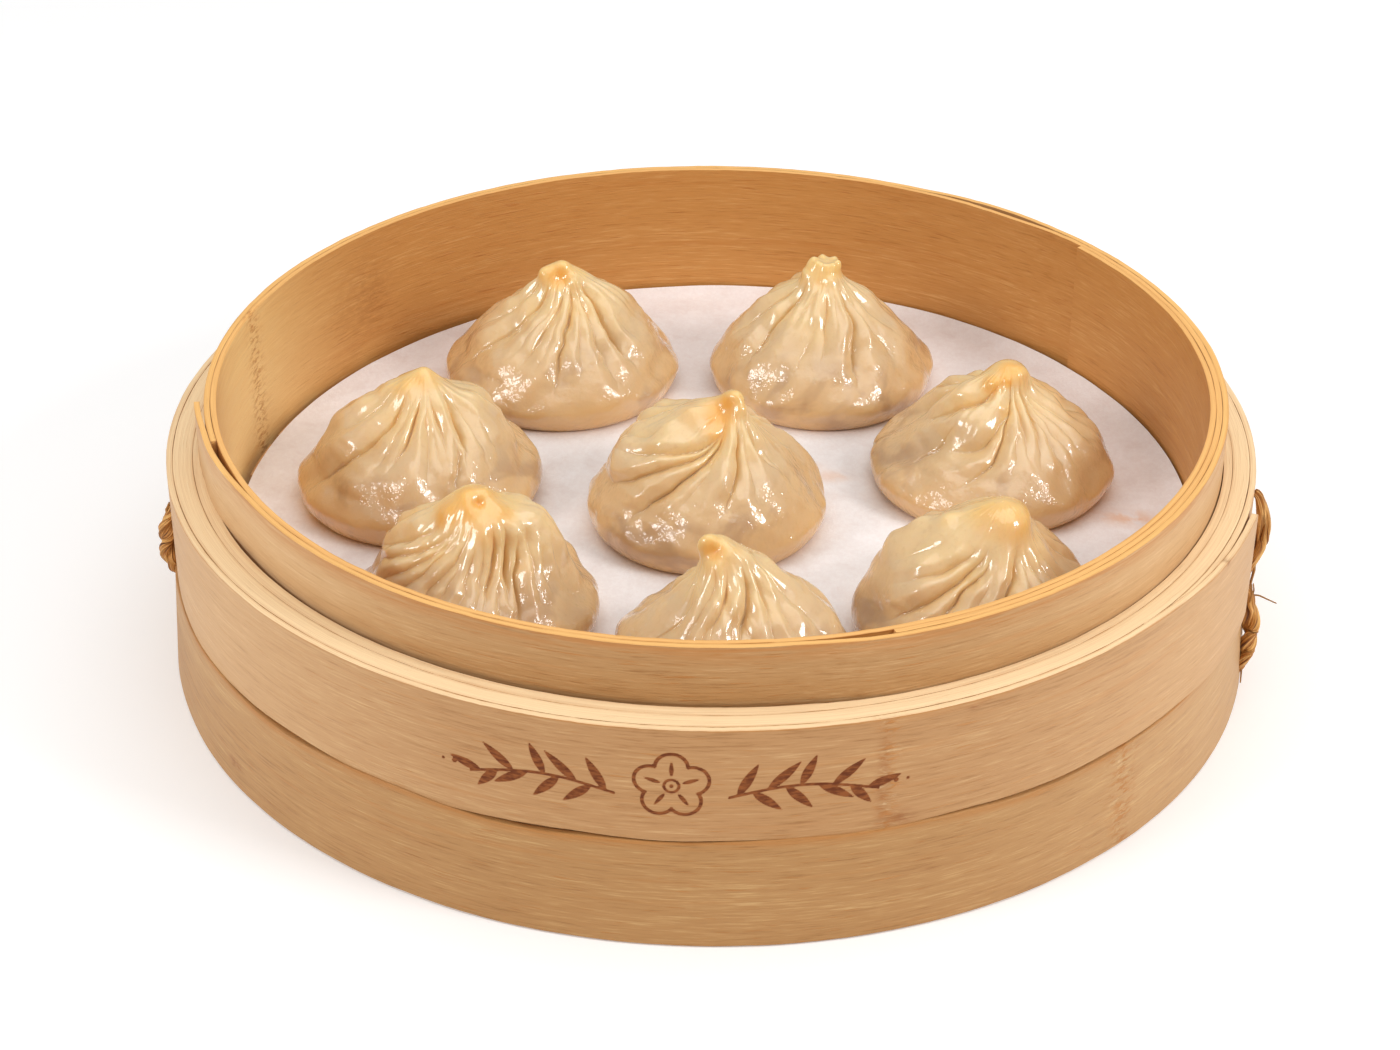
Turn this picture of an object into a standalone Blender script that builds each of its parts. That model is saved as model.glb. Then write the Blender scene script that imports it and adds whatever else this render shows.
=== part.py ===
"""One tier of a bamboo steamer basket, lined with paper and holding eight pleated soup dumplings.

All sizes below are in millimetres and degrees. The basket stands on z = 0 with its axis on +Z and its
lashed joint of the outer bands at the right, +X. The front is -Y.
"""

import random
from math import cos, floor, pi, radians, sin, sqrt

import bmesh
import bpy

MM = 0.001

# Bent bamboo strips: a full turn has this many straight facets.
TURN_FACETS = 60
FACET_DEG = 360.0 / TURN_FACETS
STRIP_GAP = 0.08
PIECE_GAP = 0.3

# Inner wall: two strips wound inside each other, standing proud of the ledge as the rim.
INNER_RADIUS = 95.1
INNER_STRIP = 1.15
INNER_PITCH = INNER_STRIP + STRIP_GAP
INNER_BOTTOM = 12.5
RIM_TOP = 55.2
INNER_BUTT_DEG = -72.0
INNER_TAIL_DEG = 36.0
MIDDLE_FREE_DEG = 188.3
MIDDLE_TAIL_DEG = 198.0
MIDDLE_FLARE = 0.1
STEP_OVER_DEG = 15.0

# Ledge: two hoops that the lid or the next tier stands on.
LEDGE_TOP = 43.9
LEDGE_INNER = (99.05, 100.4)
LEDGE_OUTER = (100.55, 103.6)
LEDGE_BOTTOM = 1.0

# Outer bands.
BAND_SPLIT = 22.0
UPPER_RADIUS = 103.75
UPPER_STRIP = 1.25
UPPER_FREE_DEG = -18.0
UPPER_TAIL_DEG = -36.0
UPPER_FLARE = 0.9
LOWER_INNER_RADIUS = 103.95
LOWER_TOP_RADIUS = 105.5
LOWER_FOOT_RADIUS = 106.7

# Floor of slats on battens, with the paper liner on top.
LINER_TOP = 25.5
LINER_THICKNESS = 0.3
LINER_RADIUS = 94.4
FLOOR_RADIUS = 94.3
SLAT_COUNT = 11
SLAT_PITCH = 16.6
SLAT_WIDTH = 13.2
SLAT_THICKNESS = 2.4
SLAT_END_POINTS = 4
BATTEN_OFFSETS = (-46.0, 0.0, 46.0)
BATTEN_WIDTH = 9.0
BATTEN_DEPTH = 5.5

# Cane lashings: name, angle round the basket, lowest and highest point, radius of the wall under it.
LASHINGS = (
    ("lashing_left", 189.5, 19.0, 34.7, 105.4),
    ("lashing_right_upper", -12.0, 23.0, 41.0, 105.4),
    ("lashing_right_lower", -14.0, 3.2, 21.4, 106.5),
)
LASHING_RADIUS = 1.3
LASHING_BULGE = 0.8
LASHING_SIDES = 6
LASHING_STEPS = 6

# Dumplings: name, centre x and y, body radius, height, lean of the tip in x and y, radius of the knot
# at the tip, number of pleats and turn of the pleats towards the tip in degrees.
DUMPLINGS = (
    ("dumpling_back_left", -32.1, 49.9, 24.8, 27.9, 0.4, -0.2, 3.4, 16, 14.0),
    ("dumpling_back_right", 23.3, 49.9, 23.6, 28.8, 0.6, 1.2, 4.2, 13, 6.0),
    ("dumpling_right", 55.8, 8.9, 24.2, 25.1, 2.8, 1.8, 4.2, 16, -12.0),
    ("dumpling_left", -58.2, 2.6, 24.2, 26.5, 1.7, 1.0, 4.6, 15, -10.0),
    ("dumpling_centre", -1.2, -7.5, 23.3, 28.0, 5.0, 0.2, 3.2, 14, 20.0),
    ("dumpling_front_left", -43.8, -44.8, 23.0, 28.8, 0.9, -0.2, 5.2, 17, 16.0),
    ("dumpling_front_centre", 3.5, -64.4, 21.6, 29.4, -2.7, 1.0, 3.8, 15, -8.0),
    ("dumpling_front_right", 48.1, -47.9, 22.6, 28.8, 3.9, -0.8, 5.0, 14, 24.0),
)
# Side of a dumpling: share of the body radius at a share of its height.
DUMPLING_SIDE = (
    (0.84, 0.00), (0.96, 0.07), (1.00, 0.19), (0.95, 0.34), (0.81, 0.49),
    (0.62, 0.62), (0.43, 0.73), (0.27, 0.82),
)
CREASE_STARTS = 0.22
CREASE_FULL = 0.66
CREASE_DEPTH = 2.0
CREASE_SHARE = 0.3
KNOT_WAIST = 0.90
KNOT_BROW = 0.97
BODY_WAVE = 0.012

COLOURS = {
    "bamboo_inner": ((0.62, 0.37, 0.16), 0.5),
    "bamboo_outer": ((0.70, 0.47, 0.26), 0.5),
    "bamboo_floor": ((0.66, 0.45, 0.24), 0.6),
    "cane": ((0.30, 0.14, 0.05), 0.7),
    "paper": ((0.83, 0.76, 0.72), 0.9),
    "dough": ((0.68, 0.50, 0.28), 0.3),
}


def material(name):
    """The Principled material of one kind of stuff, made once."""
    found = bpy.data.materials.get(name)
    if found:
        return found
    colour, roughness = COLOURS[name]
    made = bpy.data.materials.new(name)
    made.use_nodes = True
    shader = made.node_tree.nodes["Principled BSDF"]
    shader.inputs["Base Color"].default_value = (*colour, 1.0)
    shader.inputs["Roughness"].default_value = roughness
    shader.inputs["Metallic"].default_value = 0.0
    return made


def add_object(name, mesh_maker, stuff):
    """A named object whose closed mesh is made by mesh_maker(bm) in millimetres."""
    bm = bmesh.new()
    mesh_maker(bm)
    bmesh.ops.scale(bm, vec=(MM, MM, MM), verts=bm.verts)
    bmesh.ops.recalc_face_normals(bm, faces=bm.faces)
    mesh = bpy.data.meshes.new(name)
    bm.to_mesh(mesh)
    bm.free()
    mesh.shade_smooth()
    mesh.set_sharp_from_angle(angle=radians(40.0))
    mesh.materials.append(material(stuff))
    made = bpy.data.objects.new(name, mesh)
    bpy.context.scene.collection.objects.link(made)
    return made


def loft(bm, sections, closed=False):
    """Joins rings of equal length, and caps both ends unless the loft closes on itself."""
    rings = [[bm.verts.new(point) for point in section] for section in sections]
    pairs = list(zip(rings, rings[1:]))
    if closed:
        pairs.append((rings[-1], rings[0]))
    for lower, upper in pairs:
        count = len(lower)
        for i in range(count):
            bm.faces.new((lower[i], lower[(i + 1) % count], upper[(i + 1) % count], upper[i]))
    if not closed:
        bm.faces.new(reversed(rings[0]))
        bm.faces.new(rings[-1])
    return rings


def smooth(start, end, value):
    """0 up to start, 1 from end on, with a smooth rise between."""
    share = min(1.0, max(0.0, (value - start) / (end - start)))
    return share * share * (3.0 - 2.0 * share)


def facet_angles(start, end):
    """The angles of a strip's corners: both ends and each multiple of the facet angle between."""
    angles = [start]
    step = floor(start / FACET_DEG) + 1
    while step * FACET_DEG < end - 0.3 * FACET_DEG:
        if step * FACET_DEG > start + 0.3 * FACET_DEG:
            angles.append(step * FACET_DEG)
        step += 1
    return angles + [end]


def strip_section(degrees, inner, outer, bottom, top):
    """The four corners of a strip's cross-section at one angle; radii may differ at foot and top."""
    turn = radians(degrees)
    corners = ((inner, bottom), (outer[0], bottom), (outer[1], top), (inner, top))
    return [(radius * cos(turn), radius * sin(turn), z) for radius, z in corners]


def bent_strip(name, start, end, radius_at, thickness, bottom, top):
    """A strip bent round the basket, from one angle to another."""
    def make(bm):
        sections = []
        for degrees in facet_angles(start, end):
            inner = radius_at(degrees)
            outer = (inner + thickness,) * 2
            sections.append(strip_section(degrees, inner, outer, bottom, top))
        loft(bm, sections)
    return add_object(name, make, "bamboo_inner" if bottom == INNER_BOTTOM else "bamboo_outer")


def hoop(name, inner, outer, bottom, top):
    """A closed hoop; outer is the radius at the foot and at the top."""
    def make(bm):
        angles = [i * FACET_DEG for i in range(TURN_FACETS)]
        loft(bm, [strip_section(a, inner, outer, bottom, top) for a in angles], closed=True)
    return add_object(name, make, "bamboo_outer")


def inner_hoop_radius(degrees):
    """The first strip lies outside its own tail, then steps in to the inner radius."""
    step_in = smooth(INNER_TAIL_DEG, INNER_TAIL_DEG + STEP_OVER_DEG, degrees)
    return INNER_RADIUS + INNER_PITCH * (1.0 - step_in)


def middle_hoop_radius(degrees):
    """The second strip follows the first, and its free end lies flared on its own tail."""
    turned = (degrees + 180.0) % 360.0 - 180.0
    doubled = smooth(INNER_BUTT_DEG - STEP_OVER_DEG, INNER_BUTT_DEG, turned)
    doubled *= 1.0 - smooth(INNER_TAIL_DEG + STEP_OVER_DEG, INNER_TAIL_DEG + 2 * STEP_OVER_DEG, turned)
    radius = INNER_RADIUS + INNER_PITCH * (1.0 + doubled)
    if degrees < 270.0:
        radius += INNER_PITCH * (1.0 - smooth(MIDDLE_TAIL_DEG, MIDDLE_TAIL_DEG + STEP_OVER_DEG, degrees))
        flare = 1.0 - smooth(MIDDLE_FREE_DEG, MIDDLE_TAIL_DEG, degrees)
        radius += MIDDLE_FLARE * flare
    return radius


def upper_band_radius(degrees):
    """The outer strip's free end lies on its own tail and stands off a little."""
    over = smooth(UPPER_TAIL_DEG - STEP_OVER_DEG, UPPER_TAIL_DEG, degrees)
    flare = smooth(UPPER_TAIL_DEG, UPPER_FREE_DEG, degrees)
    return UPPER_RADIUS + (UPPER_STRIP + STRIP_GAP) * over + UPPER_FLARE * flare


def make_walls():
    """The inner wall's two strips, the ledge's two hoops and the two outer bands."""
    bent_strip("inner_hoop", INNER_BUTT_DEG, INNER_TAIL_DEG + 360.0, inner_hoop_radius,
               INNER_STRIP, INNER_BOTTOM, RIM_TOP)
    bent_strip("middle_hoop", MIDDLE_FREE_DEG, MIDDLE_TAIL_DEG + 360.0, middle_hoop_radius,
               INNER_STRIP, INNER_BOTTOM, RIM_TOP)
    hoop("ledge_hoop_inner", LEDGE_INNER[0], (LEDGE_INNER[1],) * 2, LEDGE_BOTTOM, LEDGE_TOP)
    hoop("ledge_hoop_outer", LEDGE_OUTER[0], (LEDGE_OUTER[1],) * 2, LEDGE_BOTTOM, LEDGE_TOP)
    bent_strip("upper_band", UPPER_TAIL_DEG - 360.0, UPPER_FREE_DEG, upper_band_radius,
               UPPER_STRIP, BAND_SPLIT + PIECE_GAP, LEDGE_TOP)
    hoop("lower_band", LOWER_INNER_RADIUS, (LOWER_FOOT_RADIUS, LOWER_TOP_RADIUS), 0.0, BAND_SPLIT)


def make_slat(index):
    """One slat, running left to right, with ends cut to the round of the wall."""
    middle = (index - (SLAT_COUNT - 1) / 2.0) * SLAT_PITCH
    rows = [middle - SLAT_WIDTH / 2 + SLAT_WIDTH * i / (SLAT_END_POINTS - 1) for i in range(SLAT_END_POINTS)]
    right = [(sqrt(FLOOR_RADIUS ** 2 - y * y), y) for y in rows]
    outline = right + [(-x, y) for x, y in reversed(right)]
    top = LINER_TOP - LINER_THICKNESS - PIECE_GAP

    def make(bm):
        loft(bm, [[(x, y, z) for x, y in outline] for z in (top - SLAT_THICKNESS, top)])
    add_object(f"slat_{index + 1:02d}", make, "bamboo_floor")


def make_batten(index):
    """One batten under the slats, running front to back."""
    middle = BATTEN_OFFSETS[index]
    low_x = middle - BATTEN_WIDTH / 2
    high_x = middle + BATTEN_WIDTH / 2
    reach = sqrt(FLOOR_RADIUS ** 2 - (abs(middle) + BATTEN_WIDTH / 2) ** 2)
    top = LINER_TOP - LINER_THICKNESS - SLAT_THICKNESS - 2 * PIECE_GAP
    outline = ((low_x, -reach), (high_x, -reach), (high_x, reach), (low_x, reach))

    def make(bm):
        loft(bm, [[(x, y, z) for x, y in outline] for z in (top - BATTEN_DEPTH, top)])
    add_object(f"batten_{index + 1}", make, "bamboo_floor")


def make_liner():
    """The round sheet of paper that the dumplings stand on."""
    corners = [radians(i * FACET_DEG) for i in range(TURN_FACETS)]
    ring = [(LINER_RADIUS * cos(a), LINER_RADIUS * sin(a)) for a in corners]

    def make(bm):
        loft(bm, [[(x, y, z) for x, y in ring] for z in (LINER_TOP - LINER_THICKNESS, LINER_TOP)])
    add_object("paper_liner", make, "paper")


def make_lashing(name, degrees, low, high, wall):
    """A stubby bar of twisted cane that lies along the wall and bulges in the middle."""
    turn = radians(degrees)

    def make(bm):
        sections = []
        for step in range(LASHING_STEPS + 1):
            share = step / LASHING_STEPS
            swell = sin(pi * share)
            radius = LASHING_RADIUS * (0.7 + 0.3 * swell)
            reach = wall + PIECE_GAP + LASHING_RADIUS + LASHING_BULGE * swell
            z = low + (high - low) * share
            ring = []
            for side in range(LASHING_SIDES):
                a = 2 * pi * side / LASHING_SIDES
                out = reach + radius * cos(a)
                along = radius * sin(a)
                ring.append((out * cos(turn) - along * sin(turn), out * sin(turn) + along * cos(turn), z))
            sections.append(ring)
        loft(bm, sections)
    add_object(name, make, "cane")


def dumpling_rings(radius, height, knot):
    """Radius and height of each ring of a dumpling, from the foot to the brow of the knot."""
    rings = [(radius * share, height * up) for share, up in DUMPLING_SIDE]
    return rings + [(knot, height * KNOT_WAIST), (knot * 0.8, height * KNOT_BROW)]


def make_dumpling(index):
    """A pleated dumpling: ridges and creases run up the side and gather in the knot."""
    name, x, y, radius, height, lean_x, lean_y, knot, pleats, twist = DUMPLINGS[index]
    chance = random.Random(index + 11)
    wave_turns = [chance.uniform(0.0, 2 * pi) for _ in range(3)]
    middles = [(i + chance.uniform(-0.16, 0.16)) / pleats for i in range(pleats)]
    depths = [CREASE_DEPTH * chance.uniform(0.65, 1.25) for _ in range(pleats)]
    base = LINER_TOP + PIECE_GAP

    def make(bm):
        sections = []
        for ring_radius, ring_height in dumpling_rings(radius, height, knot):
            up = ring_height / height
            crease = smooth(CREASE_STARTS, CREASE_FULL, up)
            swirl = radians(twist) * up * up
            ring = []
            for i in range(pleats):
                following = middles[(i + 1) % pleats] + (1.0 if i + 1 == pleats else 0.0)
                depth = min(depths[i] * crease, CREASE_SHARE * ring_radius)
                for turn, cut in ((middles[i], depth), ((middles[i] + following) / 2, 0.0)):
                    a = 2 * pi * turn
                    wave = 1.0 + BODY_WAVE * sum(cos((k + 1) * a + wave_turns[k]) for k in range(3)) * (1.0 - up)
                    r = ring_radius * wave - cut
                    lean = up ** 1.6
                    ring.append((x + lean_x * lean + r * cos(a + swirl),
                                 y + lean_y * lean + r * sin(a + swirl),
                                 base + ring_height))
            sections.append(ring)
        rings = loft(bm, sections)
        top = next(face for face in rings[-1][0].link_faces if set(face.verts) == set(rings[-1]))
        bmesh.ops.poke(bm, faces=[top], offset=0.0)
        tip = bm.verts[:][-1]
        tip.co.z = base + height
    add_object(name, make, "dough")


def main():
    for old in list(bpy.data.objects):
        bpy.data.objects.remove(old, do_unlink=True)
    make_walls()
    for index in range(SLAT_COUNT):
        make_slat(index)
    for index in range(len(BATTEN_OFFSETS)):
        make_batten(index)
    make_liner()
    for index in range(len(DUMPLINGS)):
        make_dumpling(index)
    for lashing in LASHINGS:
        make_lashing(*lashing)


main()
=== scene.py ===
"""Looks of one bamboo steamer tier with eight soup dumplings. Lengths in the tables are millimetres."""
import random
from math import cos, pi, radians, sin

import bpy
import numpy as np
from mathutils import Matrix, Vector


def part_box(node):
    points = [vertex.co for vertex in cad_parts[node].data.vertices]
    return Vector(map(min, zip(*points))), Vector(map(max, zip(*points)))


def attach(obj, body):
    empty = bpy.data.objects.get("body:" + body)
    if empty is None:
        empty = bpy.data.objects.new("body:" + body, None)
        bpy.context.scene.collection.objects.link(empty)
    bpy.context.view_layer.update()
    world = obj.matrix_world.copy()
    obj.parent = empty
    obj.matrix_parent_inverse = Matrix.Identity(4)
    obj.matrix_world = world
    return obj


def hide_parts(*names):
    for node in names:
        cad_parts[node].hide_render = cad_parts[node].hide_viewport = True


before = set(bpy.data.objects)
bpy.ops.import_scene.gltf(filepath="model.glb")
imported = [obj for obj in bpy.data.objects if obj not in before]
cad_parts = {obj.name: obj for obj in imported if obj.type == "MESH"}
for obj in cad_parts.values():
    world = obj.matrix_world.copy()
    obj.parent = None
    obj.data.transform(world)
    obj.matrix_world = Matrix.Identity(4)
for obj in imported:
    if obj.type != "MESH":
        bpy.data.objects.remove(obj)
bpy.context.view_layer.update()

MM = 0.001
TAU = 2.0 * pi

# ---- small mathematics


def smooth(start, end, value):
    """0 up to start, 1 from end on, with a smooth rise between."""
    share = np.clip((value - start) / (end - start), 0.0, 1.0)
    return share * share * (3.0 - 2.0 * share)


def waves(x, seed, longest, shortest, count=8):
    """A smooth random curve along x, about -1 to 1, with waves from longest to shortest."""
    chance = random.Random(seed)
    total = np.zeros_like(np.asarray(x, float))
    weight = 0.0
    for i in range(count):
        length = longest * (shortest / longest) ** (i / (count - 1))
        share = (length / longest) ** 0.4
        total = total + share * np.sin(TAU * x / length + chance.uniform(0.0, TAU))
        weight += share * share
    return total / (1.4 * weight ** 0.5)


def lumps(points, seed, wavelength, count=26):
    """Smooth random lumps in space, about -1 to 1."""
    chance = np.random.RandomState(seed)
    ways = chance.normal(size=(count, 3))
    ways /= np.linalg.norm(ways, axis=1)[:, None]
    ways *= (TAU / wavelength * chance.uniform(0.65, 1.5, count))[:, None]
    shift = chance.uniform(0.0, TAU, count)
    return np.cos(points @ ways.T + shift).sum(axis=-1) / (0.9 * count ** 0.5)


def linear(red, green, blue):
    """A colour given as 0 to 255 screen values, as linear light."""
    out = []
    for value in (red, green, blue):
        share = value / 255.0
        out.append(share / 12.92 if share <= 0.04045 else ((share + 0.055) / 1.055) ** 2.4)
    return (*out, 1.0)


# ---- meshes


def grid_faces(rows, columns, around=False, offset=0):
    """Quads between rows of points; around joins each row's last point to its first."""
    i = np.arange(rows - 1)[:, None]
    j = np.arange(columns if around else columns - 1)[None, :]
    k = (j + 1) % columns
    quads = np.stack([i * columns + j, i * columns + k, (i + 1) * columns + k, (i + 1) * columns + j], -1)
    return quads.reshape(-1, 4) + offset


def loft_faces(rows, columns):
    """Faces of a closed loft: its sides and a flat cap at each end."""
    ring = np.arange(columns)
    return [grid_faces(rows, columns, True), ring[::-1][None, :], (ring + (rows - 1) * columns)[None, :]]


def make_piece(name, points, faces, stuff, nodes, data, sharp=40.0):
    """A mesh piece from points in millimetres and a list of face arrays, riding on the root.

    It stands for the CAD nodes, and data holds the numbers of its points that its material reads.
    """
    mesh = bpy.data.meshes.new(name)
    points = np.asarray(points, float)
    loops = np.concatenate([np.asarray(f).ravel() for f in faces])
    sizes = np.concatenate([np.full(len(f), len(f[0])) for f in faces])
    mesh.vertices.add(len(points))
    mesh.vertices.foreach_set("co", (points * MM).ravel())
    mesh.loops.add(len(loops))
    mesh.loops.foreach_set("vertex_index", loops.astype(np.int32))
    mesh.polygons.add(len(sizes))
    mesh.polygons.foreach_set("loop_start", np.concatenate([[0], np.cumsum(sizes)[:-1]]).astype(np.int32))
    mesh.update(calc_edges=True)
    for key, values in data.items():
        values = np.asarray(values, np.float32)
        kind, field = ("FLOAT", "value") if values.ndim == 1 else ("FLOAT_VECTOR", "vector")
        mesh.attributes.new(key, kind, "POINT").data.foreach_set(field, values.ravel())
    mesh.shade_smooth()
    mesh.set_sharp_from_angle(angle=radians(sharp))
    mesh.materials.append(stuff)
    piece = bpy.data.objects.new(name, mesh)
    bpy.context.scene.collection.objects.link(piece)
    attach(piece, "root")
    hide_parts(*nodes)


def edge_profile(bottom, top, rows, bevel, across=2):
    """A strip's closed section: share of its thickness, height, top-face share, outer-edge share, inset.

    It starts low on the outer face, goes up it, over the rounded top, down the inner face and under.
    """
    turn = np.linspace(0.0, pi / 2, 4)
    section = [(1.0, z, 0.0, 0.0, 0.0) for z in np.linspace(bottom + bevel, top - bevel, rows)]
    section[-1] = (1.0, top - bevel, 0.0, 1.0, 0.0)
    for a in turn[1:]:
        section.append((1.0, top - bevel + bevel * sin(a), sin(a), 1.0 - 0.55 * sin(a) ** 2, cos(a) - 1.0))
    for i in range(1, across):
        section.append((1.0 - i / across, top, 1.0, 0.0, 0.0))
    for a in turn[::-1]:
        section.append((0.0, top - bevel + bevel * sin(a), sin(a), 0.35, 1.0 - cos(a)))
    inner_rows = max(4, rows // 3)
    section += [(0.0, z, 0.0, 0.0, 0.0) for z in np.linspace(top - bevel, bottom + bevel, inner_rows)[1:]]
    section.append((0.0, bottom, 1.0, 0.0, 1.0))
    section.append((1.0, bottom, 1.0, 0.0, -1.0))
    return np.array(section)


def strip(name, nodes, angles, inner, thick, bottom, top, stuff, seed,
          rows=9, bevel=0.22, across=2, lean=0.0, wobble=0.06, ragged=0.08, sawn=1.0, extra=None):
    """A strip of bamboo bent round the basket, open at its two ends, which have flat caps.

    inner, thick, bottom and top may be numbers or one value for each angle, in degrees. wobble and ragged
    are how far the strip strays from round and its edges from straight. extra holds more material numbers.
    """
    angles = np.asarray(angles, float)
    ones = np.ones_like(angles)
    inner, thick, low, high = (ones * value for value in (inner, thick, bottom, top))
    low_mean, high_mean = float(low.mean()), float(high.max())
    share, height, cap, edge, inset = edge_profile(low_mean, high_mean, rows, bevel, across).T
    arc = np.radians(angles) * float(inner.mean())
    rise = (height - low_mean) / (high_mean - low_mean)
    fray = ragged * waves(arc, seed + 1, 23.0, 1.7, 12)
    z = low[:, None] + rise[None, :] * (high - low)[:, None] + fray[:, None] * (rise ** 8)[None, :]
    z += (ragged * waves(arc, seed + 2, 31.0, 2.3, 12))[:, None] * ((1.0 - rise) ** 8)[None, :]
    r = inner[:, None] + thick[:, None] * share[None, :] + bevel * inset[None, :]
    r = r + lean * (share * (1.0 - rise))[None, :]
    bow = wobble * np.stack([waves(arc + 3.1 * up, seed + 5, 90.0, 14.0) for up in rise], -1)
    r = r + bow * (0.4 + 0.6 * share)[None, :]
    turn = np.radians(angles)[:, None]
    points = np.stack([r * np.cos(turn), r * np.sin(turn), z], -1)
    grain = np.stack([arc[:, None] + 0.0 * z, z + seed * 3.7, r + seed * 1.9], -1)
    full = np.ones_like(r)
    data = {"grain": grain.reshape(-1, 3),
            "cap": (full * cap * sawn).ravel(),
            "edge": (full * edge).ravel()}
    for key, maker in (extra or {}).items():
        data[key] = maker(angles[:, None] * full, z, share[None, :] * full).ravel()
    make_piece(name, points.reshape(-1, 3), loft_faces(*r.shape), stuff, nodes, data)


# ---- materials


class Value:
    """An output of a material's node. Sums, differences and products of it are Math nodes."""

    def __init__(self, stuff, socket):
        self.stuff = stuff
        self.socket = socket

    def __add__(self, other):
        return self.stuff.math("ADD", self, other)

    def __sub__(self, other):
        return self.stuff.math("SUBTRACT", self, other)

    def __rsub__(self, other):
        return self.stuff.math("SUBTRACT", other, self)

    def __mul__(self, other):
        return self.stuff.math("MULTIPLY", self, other)


class Stuff:
    """A node material under construction. Colours are given as 0 to 255 screen values."""

    def __init__(self, name):
        self.material = bpy.data.materials.new(name)
        self.material.use_nodes = True
        self.tree = self.material.node_tree
        self.shader = self.tree.nodes["Principled BSDF"]

    def put(self, socket, value):
        if isinstance(value, Value):
            self.tree.links.new(value.socket, socket)
        else:
            socket.default_value = value

    def node(self, kind, inputs, output, **settings):
        made = self.tree.nodes.new(kind)
        for key, value in settings.items():
            setattr(made, key, value)
        for key, value in inputs.items():
            self.put(made.inputs[key], value)
        return Value(self, made.outputs[output])

    def attribute(self, name, output="Fac"):
        return self.node("ShaderNodeAttribute", {}, output, attribute_name=name)

    def math(self, operation, a, b):
        return self.node("ShaderNodeMath", {0: a, 1: b}, 0, operation=operation)

    def noise(self, place, scale, detail=3.0, roughness=0.55, distortion=0.0, shift=(0.0, 0.0, 0.0)):
        """Noise stretched by a scale along each axis of a place."""
        place = self.node("ShaderNodeVectorMath", {0: place, 1: scale, 2: shift}, 0,
                          operation="MULTIPLY_ADD")
        return self.node("ShaderNodeTexNoise", {"Vector": place, "Scale": 1.0, "Detail": detail,
                                                "Roughness": roughness, "Distortion": distortion}, "Fac")

    def ramp(self, value, *stops):
        """Colours at places from 0 to 1."""
        made = self.node("ShaderNodeValToRGB", {"Fac": value}, "Color")
        colours = made.socket.node.color_ramp
        colours.interpolation = "EASE"
        while len(colours.elements) < len(stops):
            colours.elements.new(0.5)
        for element, (place, colour) in zip(colours.elements, stops):
            element.position = place
            element.color = linear(*colour)
        return made

    def between(self, value, start, end):
        """0 where value is at start, 1 at end, clamped and eased."""
        limits = {"Value": value, "From Min": start, "From Max": end}
        return self.node("ShaderNodeMapRange", limits, "Result", interpolation_type="SMOOTHSTEP")

    def mix(self, share, a, b):
        a, b = (linear(*colour) if isinstance(colour, tuple) else colour for colour in (a, b))
        return self.node("ShaderNodeMix", {0: share, 6: a, 7: b}, 2, data_type="RGBA")

    def bump(self, height, distance, strength=1.0):
        return self.node("ShaderNodeBump", {"Height": height, "Distance": distance, "Strength": strength},
                         "Normal")

    def finish(self, **sockets):
        for key, value in sockets.items():
            self.put(self.shader.inputs[key.replace("_", " ")], value)
        return self.material


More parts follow.
